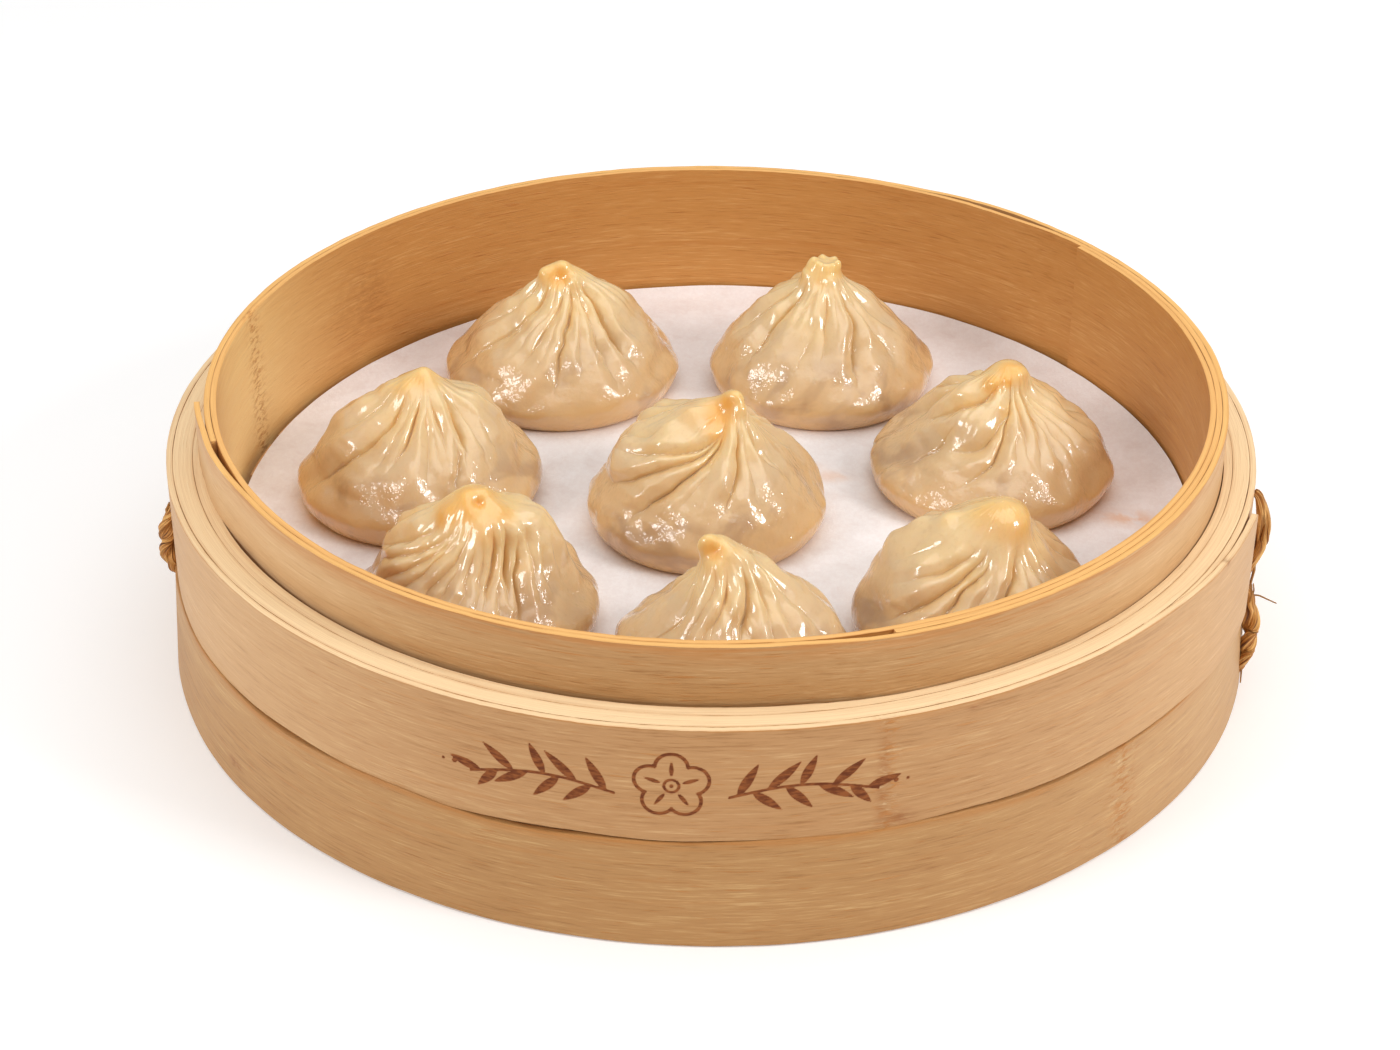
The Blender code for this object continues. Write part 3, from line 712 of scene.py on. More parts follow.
# knot is the radius of the gathered top; brow and clean are the shares of height where that rounds off and
# where the creases end. A crease is (depth, width, then (share of height, angle) from its foot to the tip),
# a bump (share of height, angle, size, height, amber). sides holds the outline on the +x, +y, -x, -y sides.
DUMPLINGS = {
    "back_left": dict(
        x=-32.1, y=49.9, radius=24.8, height=28.3, lean=(0.4, -0.2), knot=4.3, brow=0.90, taper=0.42,
        clean=0.90, seed=1,
        creases=(
            (2.1, 1.4, (.38, 269), (.45, 270), (.57, 271), (.66, 275), (.72, 280), (.80, 287), (.92, 298)),
            (2.6, 1.1, (.46, 319), (.58, 317), (.65, 316), (.71, 316), (.79, 319), (.88, 320)),
            (1.3, 1.1, (.36, 303), (.50, 302), (.60, 301), (.75, 303), (.88, 306)),
            (1.0, 0.9, (.44, 284), (.60, 287), (.76, 294), (.90, 302)),
            (1.6, 1.4, (.48, 246), (.55, 249), (.62, 252), (.72, 259), (.80, 268), (.90, 284)),
            (1.0, 1.0, (.48, 258), (.66, 264), (.82, 276)),
            (0.8, 0.9, (.50, 236), (.66, 243), (.80, 256)),
            (1.6, 3.0, (.32, 202), (.38, 204), (.50, 209), (.60, 214), (.70, 220), (.84, 232)),
            (1.0, 1.6, (.50, 184), (.85, 200)),
            (0.6, 1.0, (.50, 334), (.70, 330)),
        ),
        bumps=((0.93, 264, 1.9, -1.3, 1.1), (0.985, 290, 1.6, 0.7, 0.1), (0.92, 205, 1.9, 1.5, 0.25),
               (0.9, 310, 1.7, 1.0, 0.1), (0.80, 172, 4, 1.2, 0), (0.72, 200, 3, 0.6, 0)),
        sides=((0.86, 0.76, 0.65, 0.5, 0.31),
               (0.92, 0.76, 0.52, 0.27, 0.1),
               (0.84, 0.7, 0.53, 0.31, 0.13),
               (0.9, 0.77, 0.59, 0.38, 0.2))),
    "back_right": dict(
        x=23.3, y=49.9, radius=23.6, height=28.4, lean=(0.6, 1.2), knot=4.3, brow=0.955, taper=0.30,
        clean=0.86, seed=2,
        creases=(
            (2.0, 1.4, (.38, 290), (.51, 290), (.61, 297), (.70, 303), (.82, 302), (.92, 300)),
            (1.0, 1.4, (.46, 322), (.52, 322), (.66, 318), (.84, 312)),
            (1.3, 1.2, (.50, 267), (.55, 268), (.68, 269), (.80, 270), (.90, 276)),
            (1.7, 2.0, (.38, 217), (.44, 216), (.55, 214), (.66, 213), (.78, 215), (.90, 222)),
            (1.1, 3.0, (.38, 248), (.45, 250), (.60, 255), (.72, 260)),
            (0.8, 0.8, (.66, 233), (.80, 246), (.90, 256)),
            (0.7, 0.8, (.62, 281), (.80, 284), (.90, 286)),
            (1.0, 1.5, (.45, 188), (.88, 194)),
            (0.7, 1.0, (.55, 338), (.84, 326)),
        ),
        bumps=((0.985, 180, 1.0, 1.0, 0), (0.985, 225, 0.85, 0.8, 0), (0.985, 262, 0.8, 0.6, 0),
               (0.985, 300, 0.85, 0.9, 0), (0.985, 345, 0.9, 1.0, 0), (0.985, 40, 1.0, 0.8, 0),
               (0.985, 110, 1.0, 0.8, 0), (0.91, 192, 2.4, 1.6, 0), (0.865, 225, 2.2, 0.7, 0.1),
               (0.88, 250, 1.4, -0.5, 0.1), (0.90, 285, 1.6, 0.5, 0.1)),
        sides=((0.85, 0.7, 0.54, 0.35, 0.17),
               (0.9, 0.78, 0.6, 0.38, 0.18),
               (0.87, 0.77, 0.63, 0.42, 0.2),
               (0.9, 0.77, 0.59, 0.39, 0.21))),
    "right": dict(
        x=55.8, y=8.9, radius=24.2, height=25.8, lean=(2.8, 1.8), knot=4.7, brow=0.88, taper=0.12,
        clean=0.92, seed=3,
        creases=(
            (1.5, 0.7, (.77, 272), (.80, 273), (.84, 275), (.97, 279)),
            (1.7, 1.0, (.56, 296), (.60, 298), (.70, 303), (.80, 301), (.88, 298)),
            (1.2, 0.9, (.56, 287), (.73, 287), (.86, 286)),
            (2.0, 1.2, (.40, 250), (.45, 255), (.50, 259), (.58, 263), (.68, 268), (.80, 272)),
            (1.8, 1.2, (.50, 222), (.53, 228), (.58, 246), (.63, 253), (.68, 259), (.76, 266), (.84, 272)),
            (1.8, 1.2, (.56, 182), (.60, 187), (.70, 200), (.78, 214), (.86, 236), (.92, 256)),
            (1.8, 3.0, (.30, 206), (.38, 208), (.48, 212), (.56, 214), (.64, 222)),
            (1.1, 0.9, (.46, 309), (.60, 309), (.74, 307), (.88, 302)),
            (1.0, 0.9, (.48, 318), (.70, 315), (.88, 308)),
            (1.0, 0.9, (.50, 327), (.72, 323), (.88, 314)),
            (0.9, 1.0, (.50, 340), (.70, 334), (.88, 322)),
            (0.9, 0.8, (.46, 275), (.58, 278), (.70, 281)),
        ),
        bumps=((0.80, 190, 3.0, 1.2, 0.1), (0.93, 262, 1.2, 0.5, 1), (0.90, 232, 1.8, 0.8, 0.8),
               (0.95, 300, 1.8, 0.5, 0.4), (0.96, 330, 1.5, 0.4, 0.3), (0.985, 272, 2.0, 0.2, 0.9),
               (0.79, 262, 1.0, 0.5, 0.2)),
        sides=((0.89, 0.79, 0.59, 0.35, 0.16),
               (0.91, 0.81, 0.69, 0.45, 0.22),
               (0.8, 0.62, 0.53, 0.4, 0.26),
               (0.9, 0.77, 0.6, 0.41, 0.23))),
    "left": dict(
        x=-58.2, y=2.6, radius=24.2, height=27.4, lean=(1.7, 1.0), knot=4.9, brow=0.88, taper=0.50,
        clean=0.88, seed=4,
        creases=(
            (1.9, 0.9, (.58, 256), (.68, 261), (.77, 265), (.86, 271)),
            (1.5, 0.9, (.64, 294), (.74, 294), (.82, 291), (.90, 288)),
            (2.1, 1.4, (.54, 306), (.66, 311), (.75, 314), (.82, 318), (.90, 318)),
            (1.6, 0.9, (.38, 294), (.46, 297), (.52, 300), (.60, 302), (.70, 303)),
            (2.0, 3.0, (.30, 208), (.36, 210), (.45, 214), (.58, 222), (.72, 232), (.84, 242)),
            (1.1, 1.0, (.52, 242), (.62, 246), (.74, 252), (.86, 262)),
            (0.9, 0.8, (.58, 226), (.64, 229), (.74, 238), (.86, 252)),
            (1.0, 0.9, (.48, 279), (.62, 280), (.76, 281), (.88, 282)),
            (0.8, 0.8, (.52, 288), (.64, 287), (.76, 286)),
            (0.9, 0.9, (.50, 320), (.66, 324), (.80, 328)),
            (0.8, 0.9, (.50, 332), (.70, 337)),
            (0.9, 1.8, (.58, 194), (.86, 206)),
        ),
        bumps=((0.72, 178, 3.4, 1.0, 0), (0.84, 176, 2.8, 0.8, 0.1), (0.60, 176, 3.0, 0.7, 0),
               (0.93, 262, 2.0, -0.5, 0.35), (0.95, 292, 2.0, 0.6, 0.2), (0.90, 235, 2.4, 0.5, 0.35),
               (0.74, 2, 4.0, 0.8, 0)),
        sides=((0.84, 0.75, 0.64, 0.45, 0.24),
               (0.9, 0.81, 0.64, 0.41, 0.21),
               (0.85, 0.76, 0.63, 0.44, 0.25),
               (0.9, 0.78, 0.62, 0.42, 0.25))),
    "centre": dict(
        x=-1.2, y=-7.5, radius=23.3, height=28.6, lean=(5.0, 0.2), knot=4.0, brow=0.93, taper=0.40,
        clean=0.86, seed=5,
        creases=(
            (1.8, 1.1, (.70, 184), (.735, 190), (.78, 199)),
            (2.3, 1.2, (.66, 200), (.715, 213), (.735, 224), (.76, 238), (.80, 250), (.90, 266)),
            (2.3, 1.4, (.42, 198), (.50, 208), (.57, 215), (.68, 228), (.76, 250), (.86, 264)),
            (2.3, 1.4, (.36, 226), (.49, 232), (.57, 239), (.68, 250), (.80, 265)),
            (0.8, 0.9, (.46, 250), (.60, 257), (.80, 271)),
            (2.1, 1.3, (.48, 277), (.54, 280), (.60, 283), (.68, 286), (.80, 290), (.90, 292)),
            (1.0, 0.9, (.52, 297), (.62, 298), (.80, 299)),
            (1.5, 1.1, (.56, 324), (.60, 322), (.68, 318), (.75, 314), (.88, 306)),
            (0.9, 1.1, (.42, 332), (.48, 330), (.70, 327)),
        ),
        bumps=((0.92, 240, 3.0, -1.5, 1.05), (0.86, 252, 2.4, -0.8, 0.85), (0.975, 300, 1.5, 1.2, 0),
               (0.91, 306, 1.5, 1.3, 0), (0.985, 230, 1.6, 0.7, 0.2), (0.88, 205, 2.6, 0.8, 0.3)),
        sides=((0.86, 0.68, 0.46, 0.28, 0.15),
               (0.93, 0.87, 0.71, 0.46, 0.18),
               (0.89, 0.87, 0.83, 0.65, 0.36),
               (0.91, 0.8, 0.63, 0.44, 0.25))),
    "front_left": dict(
        x=-43.8, y=-44.8, radius=23.0, height=28.8, lean=(0.9, -0.2), knot=4.6, brow=0.88, taper=0.0,
        clean=0.84, seed=6,
        creases=(
            (1.6, 1.5, (.60, 181), (.66, 187), (.73, 195), (.84, 222)),
            (1.7, 1.5, (.50, 185), (.58, 194), (.65, 203), (.76, 224), (.84, 250)),
            (1.6, 1.4, (.48, 207), (.57, 213), (.70, 228), (.78, 241), (.84, 256)),
            (1.4, 1.3, (.46, 220), (.55, 226), (.66, 234), (.75, 245), (.83, 264)),
            (1.3, 1.1, (.46, 237), (.58, 242), (.67, 251), (.74, 260), (.82, 270)),
            (1.1, 0.9, (.44, 249), (.56, 253), (.66, 259), (.76, 268)),
            (1.2, 0.9, (.42, 261), (.56, 266), (.68, 270), (.78, 275)),
            (1.1, 0.9, (.42, 273), (.56, 276), (.68, 280), (.78, 285)),
            (1.9, 0.9, (.50, 280), (.62, 284), (.68, 288), (.72, 291), (.82, 297)),
            (1.2, 0.8, (.40, 287), (.50, 289), (.60, 291), (.66, 295)),
            (2.8, 1.1, (.54, 298), (.66, 300), (.72, 303), (.78, 308), (.84, 312)),
            (2.4, 1.0, (.38, 300), (.48, 303), (.60, 306), (.70, 314), (.78, 320)),
            (1.0, 0.9, (.44, 317), (.58, 321), (.70, 326), (.80, 332)),
            (1.0, 0.9, (.46, 328), (.60, 331), (.74, 338)),
            (0.8, 1.0, (.50, 342), (.66, 346)),
        ),
        bumps=((0.955, 288, 1.0, -1.0, 1.1), (0.93, 262, 2.4, 0.8, 0.85), (0.985, 240, 1.9, 0.7, 0.7),
               (0.985, 330, 1.9, 0.7, 0.5), (0.91, 316, 2.4, 0.7, 0.6), (0.89, 222, 2.4, 1.1, 0.85),
               (0.85, 285, 2.6, 0.8, 0.45), (0.8, 352, 4, 0.8, 0)),
        sides=((0.85, 0.73, 0.66, 0.56, 0.45),
               (0.93, 0.85, 0.67, 0.4, 0.18),
               (0.86, 0.78, 0.73, 0.54, 0.3),
               (0.91, 0.8, 0.64, 0.46, 0.29))),
    "front_centre": dict(
        x=3.5, y=-64.4, radius=21.6, height=30.0, lean=(-2.7, 1.0), knot=4.5, brow=0.94, taper=0.42,
        clean=0.86, seed=7,
        creases=(
            (2.6, 1.2, (.60, 281), (.66, 284), (.70, 289), (.74, 296), (.79, 305), (.88, 314)),
            (1.7, 1.0, (.66, 310), (.72, 314), (.78, 320), (.86, 327)),
            (1.6, 1.0, (.58, 256), (.66, 260), (.71, 265), (.76, 271), (.84, 281)),
            (1.3, 1.0, (.50, 247), (.58, 250), (.63, 255), (.68, 258), (.76, 264)),
            (1.0, 0.9, (.50, 291), (.58, 290), (.66, 289)),
            (1.3, 2.6, (.42, 205), (.50, 208), (.58, 212), (.70, 222)),
            (1.0, 1.1, (.46, 231), (.58, 236), (.70, 245), (.80, 258)),
            (1.0, 0.9, (.48, 305), (.60, 306), (.68, 308)),
            (0.9, 0.9, (.48, 320), (.62, 322), (.76, 332)),
            (0.9, 1.1, (.50, 338), (.70, 342), (.84, 346)),
            (0.8, 0.9, (.50, 273), (.62, 274), (.72, 278)),
        ),
        bumps=((0.985, 215, 1.5, 1.3, 0), (0.955, 250, 1.5, -1.0, 0.8), (0.95, 190, 1.8, 0.9, 0),
               (0.95, 305, 1.8, 0.7, 0.1), (0.88, 262, 2.2, 0.5, 0.3), (0.90, 335, 2.0, 0.8, 0)),
        sides=((0.94, 0.86, 0.7, 0.52, 0.29),
               (0.86, 0.67, 0.5, 0.33, 0.19),
               (0.92, 0.67, 0.45, 0.27, 0.14),
               (0.91, 0.77, 0.59, 0.39, 0.21))),
    "front_right": dict(
        x=48.1, y=-47.9, radius=22.6, height=28.8, lean=(3.9, -0.8), knot=5.4, brow=0.86, taper=0.0,
        clean=0.80, seed=8,
        creases=(
            (2.0, 1.1, (.62, 212), (.70, 222), (.765, 232), (.82, 242)),
            (2.2, 1.5, (.38, 214), (.42, 217), (.50, 224), (.58, 229), (.65, 233), (.72, 242), (.80, 254)),
            (2.1, 1.2, (.44, 239), (.60, 241), (.66, 245), (.70, 253), (.78, 262)),
            (2.1, 1.2, (.48, 269), (.58, 275), (.65, 281), (.72, 287), (.80, 292)),
            (1.3, 1.0, (.58, 314), (.71, 309), (.80, 306)),
            (0.9, 0.8, (.50, 326), (.70, 323), (.80, 318)),
            (0.8, 0.8, (.50, 338), (.78, 331)),
            (0.9, 0.8, (.50, 297), (.65, 299), (.80, 300)),
            (1.2, 1.4, (.66, 192), (.78, 201), (.86, 214)),
            (0.8, 0.8, (.50, 254), (.64, 262), (.76, 270)),
        ),
        bumps=((0.93, 285, 3.2, 0.5, 0.45), (0.95, 240, 3, 0.3, 0.4), (0.97, 320, 3, 0.2, 0.3),
               (0.62, 172, 3.2, 0.9, 0), (0.76, 168, 3.0, 1.0, 0), (0.86, 176, 2.2, 0.8, 0)),
        sides=((0.94, 0.78, 0.55, 0.35, 0.17),
               (0.94, 0.9, 0.76, 0.53, 0.29),
               (0.9, 0.87, 0.77, 0.58, 0.39),
               (0.92, 0.83, 0.65, 0.46, 0.27))),
}


def hidden_creases(seed):
    """Creases of the same kind on the side away from the front."""
    chance = random.Random(seed * 7 + 3)
    made = []
    at = 14.0
    while at < 162.0:
        low = chance.uniform(0.40, 0.55)
        depth = chance.uniform(0.8, 1.9)
        swing = chance.uniform(4.0, 12.0)
        width = chance.uniform(0.9, 1.5)
        made.append((depth, width, (low, at), (0.68, at + swing * 0.5), (0.92, at + swing)))
        at += chance.uniform(15.0, 24.0)
    return made


def dumpling_grid():
    """Angles and height shares of the grid: finer towards the front and the tip."""
    front = np.linspace(172.0, 368.0, 250)
    rear = np.linspace(368.0, 532.0, 72)[1:-1]
    foot = np.linspace(0.0, WIDEST, 12)
    side = np.linspace(WIDEST, 0.86, 72)[1:]
    tip = 0.86 + 0.14 * np.sin(np.linspace(0.0, pi / 2, 40)[1:])
    return np.concatenate([front, rear]), np.concatenate([foot, side, tip])


def dumpling_radius(share, turn, spec):
    """Distance from the leaning axis before the creases, from the outline on its four sides."""
    c, s = np.cos(turn), np.sin(turn)
    weights = [np.clip(v, 0.0, 1.0) ** 2 for v in (c, s, -c, -s)]
    controls = [1.0 + 0.0 * turn]
    for i in range(len(LEVELS)):
        controls.append(sum(w * side[i] for w, side in zip(weights, spec["sides"])))
    controls.append(0.0 * turn)
    controls = np.stack(controls)
    places = np.array([WIDEST, *LEVELS, 1.0])
    slopes = np.zeros_like(controls)
    slopes[1:-1] = (controls[2:] - controls[:-2]) / (places[2:] - places[:-2])[:, None]
    slopes[-1] = (controls[-1] - controls[-2]) / (places[-1] - places[-2])
    r = np.empty((len(share), len(turn)))
    for row, up in enumerate(share):
        if up <= WIDEST:
            r[row] = FOOT + (1.0 - FOOT) * sin(up / WIDEST * pi / 2) ** 0.7
            continue
        j = min(len(places) - 2, int(np.searchsorted(places, up, side="right")) - 1)
        step = places[j + 1] - places[j]
        t = (up - places[j]) / step
        r[row] = ((2 * t ** 3 - 3 * t * t + 1) * controls[j] + (t ** 3 - 2 * t * t + t) * step * slopes[j]
                  + (3 * t * t - 2 * t ** 3) * controls[j + 1] + (t ** 3 - t * t) * step * slopes[j + 1])
    r = np.maximum(r, 0.0) * spec["radius"]
    brow = spec["brow"]
    cap = np.sqrt(np.clip(1.0 - ((share - brow) / (1.0 - brow)) ** 2, 0.0004, 1.0))
    cap = np.where(share < brow, 0.86 + 0.14 * smooth(brow - 0.10, brow, share), cap)
    cap = cap * (1.0 - spec["taper"] * smooth(0.78, 1.0, share))
    return (r ** 4 + (spec["knot"] * cap[:, None]) ** 4) ** 0.25


def grid_normals(points):
    """Outward normals of a grid that closes round its second axis."""
    along = np.gradient(points, axis=0)
    around = np.roll(points, -1, axis=1) - np.roll(points, 1, axis=1)
    normal = np.cross(around, along)
    return normal / np.maximum(np.linalg.norm(normal, axis=-1), 1e-9)[..., None]


def crease_path(path, share, wander):
    """Angle of a crease at each height share, straight on below its foot."""
    heights = np.array([p[0] for p in path])
    angles = np.array([p[1] for p in path], float)
    at = np.interp(share, heights, angles)
    first = (angles[1] - angles[0]) / (heights[1] - heights[0])
    at = np.where(share < heights[0], angles[0] + (share - heights[0]) * first, at)
    at = np.convolve(np.pad(at, 4, mode="edge"), np.ones(9) / 9.0, mode="valid")
    return at + wander


def press_creases(spec, azimuth, share, r):
    """How deep the creases press in, how near each place is to one (the mask of the painted crease shade),
    and how far the dough slides.
    """
    seed, clean = spec["seed"], spec["clean"]
    ring_radius = r.mean(axis=1)
    step = np.hypot(np.gradient(ring_radius), np.gradient(share) * spec["height"])
    deep = np.zeros_like(r)
    crease_shade = np.zeros_like(r)
    slide = np.zeros_like(r)
    for index, (depth, width, *path) in enumerate(list(spec["creases"]) + hidden_creases(seed)):
        wander = 1.1 * waves(share * 30.0, seed * 31 + index, 9.0, 2.5)
        at = crease_path(path, share, wander)
        gap = turned(azimuth[None, :] - at[:, None])
        slope = np.gradient(np.radians(at)) / np.maximum(step, 1e-6) * ring_radius
        distance = np.radians(gap) * r / np.sqrt(1.0 + slope[:, None] ** 2)
        start = path[0][0]
        spread = 1.0 + 0.8 * smooth(start + 0.15, start - 0.10, share)[:, None]
        wide = 2.5 * width * (0.24 + 0.76 * np.clip(r / 13.0, 0.0, 1.0)) * spread
        wide = np.where(distance < 0.0, wide * 0.80, wide * 1.20)
        soft = (0.50 - 0.15 * min(depth, 2.4)) * np.clip(r / 9.0, 0.2, 1.0)
        t = np.clip((np.sqrt(distance ** 2 + soft ** 2) - soft) / wide, 0.0, 1.0)
        pinched = min(0.66, 0.30 + 0.15 * depth)
        sharp = 1.0 - np.sqrt(1.0 - (1.0 - t) ** 2)
        near = pinched * sharp + (1.0 - pinched) * 0.5 * (1.0 + np.cos(pi * t))
        fade = smooth(start - 0.14, start + 0.16, share) * (1.0 - 0.55 * smooth(0.80, 0.94, share))
        last = min(clean, path[-1][0]) if path[-1][0] < 0.80 else clean
        fade = fade * (1.0 - smooth(last - 0.12, last + 0.05, share))
        size = np.minimum(1.30 * depth * fade[:, None], 0.30 * r)
        deep += (size * near) ** 4
        # Mask of the painted crease shade: strongest in the middle of deep creases.
        crease_shade = np.maximum(crease_shade, near ** 2 * np.minimum(size / 2.6, 1.0) ** 1.5)
        shift = np.minimum(0.36 * size * near, 0.62 * np.abs(distance))
        slide += np.where(distance < 0.0, shift, -0.15 * shift)
    return deep ** 0.25, crease_shade, slide


def make_dumpling(name, spec):
    """One dumpling, as a grid pushed in along its creases and out at its lumps."""
    azimuth, share = dumpling_grid()
    seed = spec["seed"]
    clean = spec["clean"]
    flat_turn = np.radians(azimuth)
    r = dumpling_radius(share, flat_turn, spec)
    turn = flat_turn[None, :] + 0.0 * r
    up = share[:, None] + 0.0 * r
    lean = share[:, None] ** 1.6
    x = spec["x"] + spec["lean"][0] * lean + r * np.cos(turn)
    y = spec["y"] + spec["lean"][1] * lean + r * np.sin(turn)
    z = PAPER_TOP - 0.02 + spec["height"] * up
    points = np.stack([x, y, z], -1)
    normal = grid_normals(points)
    sideways = np.stack([-np.sin(turn), np.cos(turn), 0.0 * turn], -1)
    deep, crease_shade, slide = press_creases(spec, azimuth, share, r)
    flat = points.reshape(-1, 3)
    wave = 0.46 * lumps(flat, seed, 15.0) + 0.15 * lumps(flat, seed + 20, 6.5)
    wave = wave.reshape(r.shape) * smooth(0.02, 0.25, up) * np.clip(r / 9.0, 0.12, 1.0)
    chart = np.stack([turn * 12.0, up * 7.0, 0.0 * up], -1).reshape(-1, 3)
    fine = 0.08 * lumps(chart, seed + 60, 2.1).reshape(r.shape) * smooth(0.5, 0.72, up)
    fine = fine * (1.0 - 0.7 * smooth(clean - 0.06, clean + 0.06, up))
    push = wave + fine * np.clip(r / 5.0, 0.25, 1.0) - deep
    amber = np.zeros_like(r)
    for height, angle, size, tall, tint in spec["bumps"]:
        row = int(np.argmin(np.abs(share - height)))
        column = int(np.argmin(np.abs(turned(azimuth - angle))))
        near = np.linalg.norm(points - points[row, column], axis=-1) / size
        push = push + tall * np.exp(-near ** 2)
        amber = np.maximum(amber, tint * np.exp(-(near / 1.25) ** 4))
    points = points + normal * push[..., None] + sideways * slide[..., None]
    points[..., 2] = np.maximum(points[..., 2], PAPER_TOP - 0.02)
    # The flat foot, as rings that shrink to a small disc.
    foot = points[0]
    centre = foot.mean(axis=0)
    rings = [centre + (foot - centre) * s for s in (0.12, 0.4, 0.7, 0.93)]
    points = np.concatenate([np.stack(rings), points])
    pad = np.zeros((4, r.shape[1]))
    data = {
        "grain": (points + np.array([17.0, 5.0, 9.0]) * seed).reshape(-1, 3),
        "up": np.concatenate([pad, up]).ravel(),
        # crease carries the mask of the painted shade in the creases.
        "crease": np.concatenate([pad, crease_shade]).ravel(),
        "amber": np.concatenate([pad, amber]).ravel(),
    }
    make_piece("dumpling_" + name + "_looks", points.reshape(-1, 3), loft_faces(*points.shape[:2]), DOUGH,
               ["dumpling_" + name], data, sharp=180.0)


# ---- cane lashings


def tube(centres, radii, sides, phase=0.0, ridges=0.0):
    """Points and faces of a closed tube along centres, with flat capped ends."""
    centres = np.asarray(centres, float)
    way = np.gradient(centres, axis=0)
    way /= np.linalg.norm(way, axis=1)[:, None]
    out = np.array([0.31, 0.17, 0.94])
    across = np.cross(way, out)
    across /= np.linalg.norm(across, axis=1)[:, None]
    other = np.cross(way, across)
    a = np.linspace(0.0, TAU, sides, endpoint=False)[None, :] + phase
    r = np.asarray(radii, float)[:, None] * (1.0 + ridges * np.cos(5.0 * a))
    points = centres[:, None, :] + (r * np.cos(a))[..., None] * across[:, None, :]
    points = points + (r * np.sin(a))[..., None] * other[:, None, :]
    rows = len(centres)
    faces = grid_faces(rows, sides, True)
    caps = [np.arange(sides)[::-1], np.arange(sides) + (rows - 1) * sides]
    length = np.concatenate([[0.0], np.cumsum(np.linalg.norm(np.diff(centres, axis=0), axis=1))])
    grain = np.stack([length[:, None] + 0.0 * a, (a - phase) * 1.3 + 0.0 * length[:, None],
                      0.0 * length[:, None] + 0.0 * a], -1)
    return points.reshape(-1, 3), faces, caps, grain.reshape(-1, 3)


def make_lashing(node, degrees, low, high, wall, turns, phase, skew, thick, bulge, hairs):
    """Strands of cane twisted round each other along the wall, their ends pulled into it."""
    turn = radians(degrees)
    outward = np.array([cos(turn), sin(turn), 0.0])
    along = np.array([-sin(turn), cos(turn), 0.0])
    points, faces, caps, grains = [], [], [], []
    start = 0

    def add(part, seed):
        nonlocal start
        p, f, c, g = part
        points.append(p)
        faces.append(f + start)
        caps.extend([row + start for row in c])
        grains.append(g + np.array([seed * 9.0, seed * 4.0, 0.0]))
        start += len(p)

    t = np.linspace(0.0, 1.0, 70)
    swell = np.sin(pi * t ** skew) ** 0.5
    for k in range(2):
        spin = phase + pi * k + TAU * turns * t
        gap = 0.80 * thick * swell
        out = wall - 0.6 + (0.6 + 1.25 * thick) * swell + bulge * swell ** 2 + gap * np.cos(spin)
        side = gap * 1.15 * np.sin(spin)
        z = low + (high - low) * t
        centre = outward[None, :] * out[:, None] + along[None, :] * side[:, None]
        centre = centre + np.array([0.0, 0.0, 1.0]) * z[:, None]
        fat = thick * (0.72 + 0.28 * swell) * (1.0 + 0.10 * np.cos(spin * 1.3 + k))
        add(tube(centre, fat, 30, k + 1.7 * spin[0], 0.13), k + 1)
    for index, (fat, hair) in enumerate(hairs):
        path = np.array([outward * o + along * s + np.array([0.0, 0.0, z]) for o, s, z in hair])
        places = np.linspace(0, len(path) - 1, 26)
        spline = np.stack([np.interp(places, range(len(path)), path[:, i]) for i in range(3)], -1)
        spline[2:-2] = (spline[:-4] + spline[1:-3] + spline[2:-2] + spline[3:-1] + spline[4:]) / 5.0
        add(tube(spline, np.linspace(fat, fat * 0.6, 26), 8), index + 11)
    make_piece(node + "_looks", np.concatenate(points), [np.concatenate(faces)] + split_caps(caps), CANE,
               [node], {"grain": np.concatenate(grains)})


def split_caps(caps):
    """Cap rows gathered by their number of corners."""
    sizes = sorted({len(row) for row in caps})
    return [np.stack([row for row in caps if len(row) == size]) for size in sizes]


# hairs are loose fibres: thickness, then points as (out from the middle, along the wall, height).
LASHINGS = {
    "lashing_left": dict(
        degrees=189.5, low=19.5, high=33.8, wall=105.5, turns=1.28, phase=0.89, skew=0.75, thick=0.98,
        bulge=0.3,
        hairs=((0.28, ((105.9, 0.3, 31.8), (106.4, 0.4, 33.2), (105.7, 0.4, 34.8))),)),
    "lashing_right_upper": dict(
        degrees=-12.0, low=23.2, high=41.0, wall=105.7, turns=0.75, phase=0.5, skew=1.15, thick=0.86,
        bulge=0.6,
        hairs=((0.34, ((106.4, 0.2, 26.5), (106.8, 0.2, 24.0), (106.4, 0.0, 21.0), (106.2, -0.4, 17.5))),
               (0.20, ((106.0, -0.6, 39.5), (107.0, -1.0, 38.0), (107.9, -1.2, 34.0),
                       (107.2, -0.8, 27.0))))),
    "lashing_right_lower": dict(
        degrees=-14.0, low=3.2, high=21.6, wall=105.9, turns=1.5, phase=0.3, skew=0.95, thick=1.0,
        bulge=0.3,
        hairs=((0.20, ((106.6, 0.0, 20.4), (108.2, 0.1, 20.6), (110.0, 0.1, 19.9), (111.7, 0.1, 19.3))),
               (0.24, ((106.6, -0.9, 19.0), (106.9, -1.2, 21.2), (106.6, -0.9, 23.4))),
               (0.20, ((106.6, -0.3, 19.4), (107.2, -0.2, 21.6), (106.9, 0.2, 23.0))),
               (0.22, ((106.6, -0.5, 5.0), (106.8, -0.9, 3.2), (106.9, -1.3, 1.0))))),
}

# ---- camera, light, floor

CAMERA_DISTANCE = 546.0
CAMERA_ELEVATION = 31.08
CAMERA_TARGET = (-2.34, 0.0, 19.77)
CAMERA_LENS = 70.0938
CAMERA_ROLL = 0.384
# Metres.
FLOOR_REACH = 6.0
FLOOR_HEIGHT = -0.0002


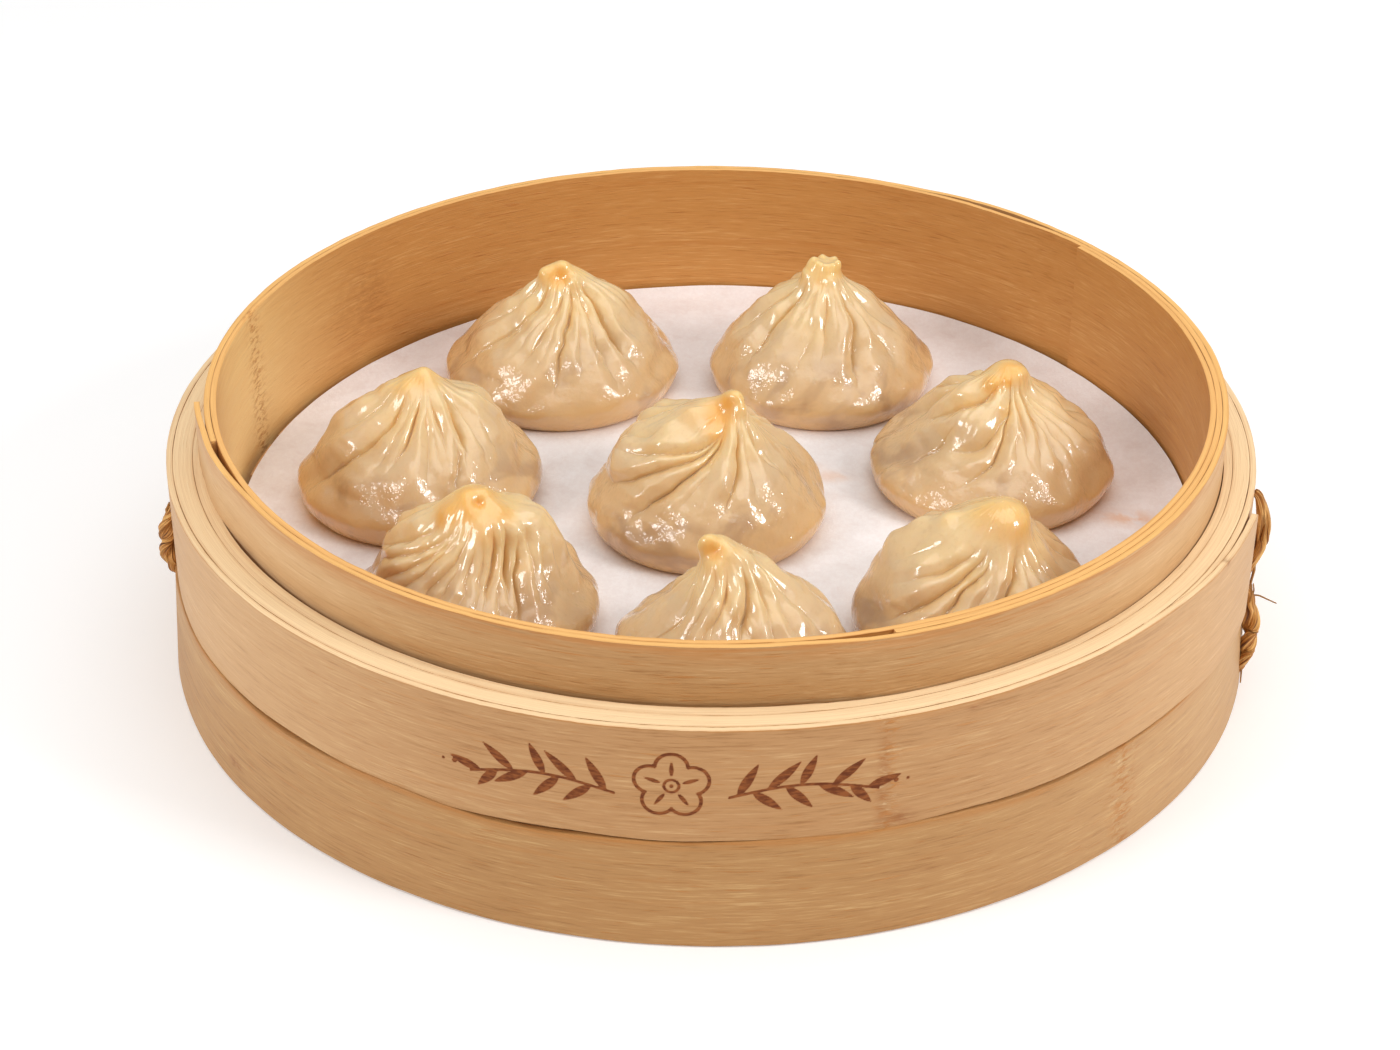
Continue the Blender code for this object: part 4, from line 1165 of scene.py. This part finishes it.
def make_camera():
    """The camera in front of the basket, looking down at it with a slight roll."""
    e = radians(CAMERA_ELEVATION)
    target = Vector(CAMERA_TARGET) * MM
    place = target + Vector((0.0, -cos(e), sin(e))) * CAMERA_DISTANCE * MM
    data = bpy.data.cameras.new("camera")
    data.sensor_width = 36.0
    data.lens = CAMERA_LENS
    data.clip_start = 0.01
    camera = bpy.data.objects.new("camera", data)
    turn = (target - place).to_track_quat("-Z", "Y").to_matrix().to_4x4()
    camera.matrix_world = Matrix.Translation(place) @ turn @ Matrix.Rotation(radians(CAMERA_ROLL), 4, "Z")
    bpy.context.scene.collection.objects.link(camera)
    bpy.context.scene.camera = camera


def area_light(name, azimuth, elevation, distance, size, power):
    """A softbox that faces the middle of the basket, distance and size in metres."""
    data = bpy.data.lights.new(name, "AREA")
    data.shape = "RECTANGLE"
    data.size, data.size_y = size
    data.energy = power
    light = bpy.data.objects.new(name, data)
    a, e = radians(azimuth), radians(elevation)
    place = Vector((cos(a) * cos(e), sin(a) * cos(e), sin(e))) * distance
    light.matrix_world = Matrix.Translation(place) @ (-place).to_track_quat("-Z", "Y").to_matrix().to_4x4()
    bpy.context.scene.collection.objects.link(light)


def make_studio():
    """Soft light from above and from both sides, over a plain pale floor."""
    world = bpy.data.worlds.new("studio")
    world.use_nodes = True
    background = world.node_tree.nodes["Background"]
    background.inputs["Color"].default_value = (1.0, 0.99, 0.98, 1.0)
    background.inputs["Strength"].default_value = 0.40
    bpy.context.scene.world = world
    area_light("overhead", 20.0, 84.0, 1.1, (1.5, 1.3), 6.3)
    area_light("key_right", 333.0, 34.0, 0.95, (0.26, 0.30), 3.3)
    area_light("side_left", 209.0, 30.0, 1.15, (0.42, 0.36), 4.0)
    bpy.context.scene.view_settings.view_transform = "Standard"
    bpy.context.scene.view_settings.look = "None"
    floor_mesh = bpy.data.meshes.new("floor")
    corners = [(x * FLOOR_REACH, y * FLOOR_REACH, FLOOR_HEIGHT)
               for x, y in ((-1, -1), (1, -1), (1, 1), (-1, 1))]
    floor_mesh.from_pydata(corners, [], [(0, 1, 2, 3)])
    floor_stuff = Stuff("floor_looks").finish(Base_Color=(0.94, 0.94, 0.94, 1.0), Roughness=0.9,
                                              Specular_IOR_Level=0.1, Emission_Strength=0.15,
                                              Emission_Color=(1.0, 1.0, 1.0, 1.0))
    floor_mesh.materials.append(floor_stuff)
    floor = bpy.data.objects.new("floor", floor_mesh)
    bpy.context.scene.collection.objects.link(floor)


make_camera()
make_studio()
make_walls()
make_floor()
for dumpling_name, dumpling_spec in DUMPLINGS.items():
    make_dumpling(dumpling_name, dumpling_spec)
for lashing_node, lashing_spec in LASHINGS.items():
    make_lashing(lashing_node, **lashing_spec)
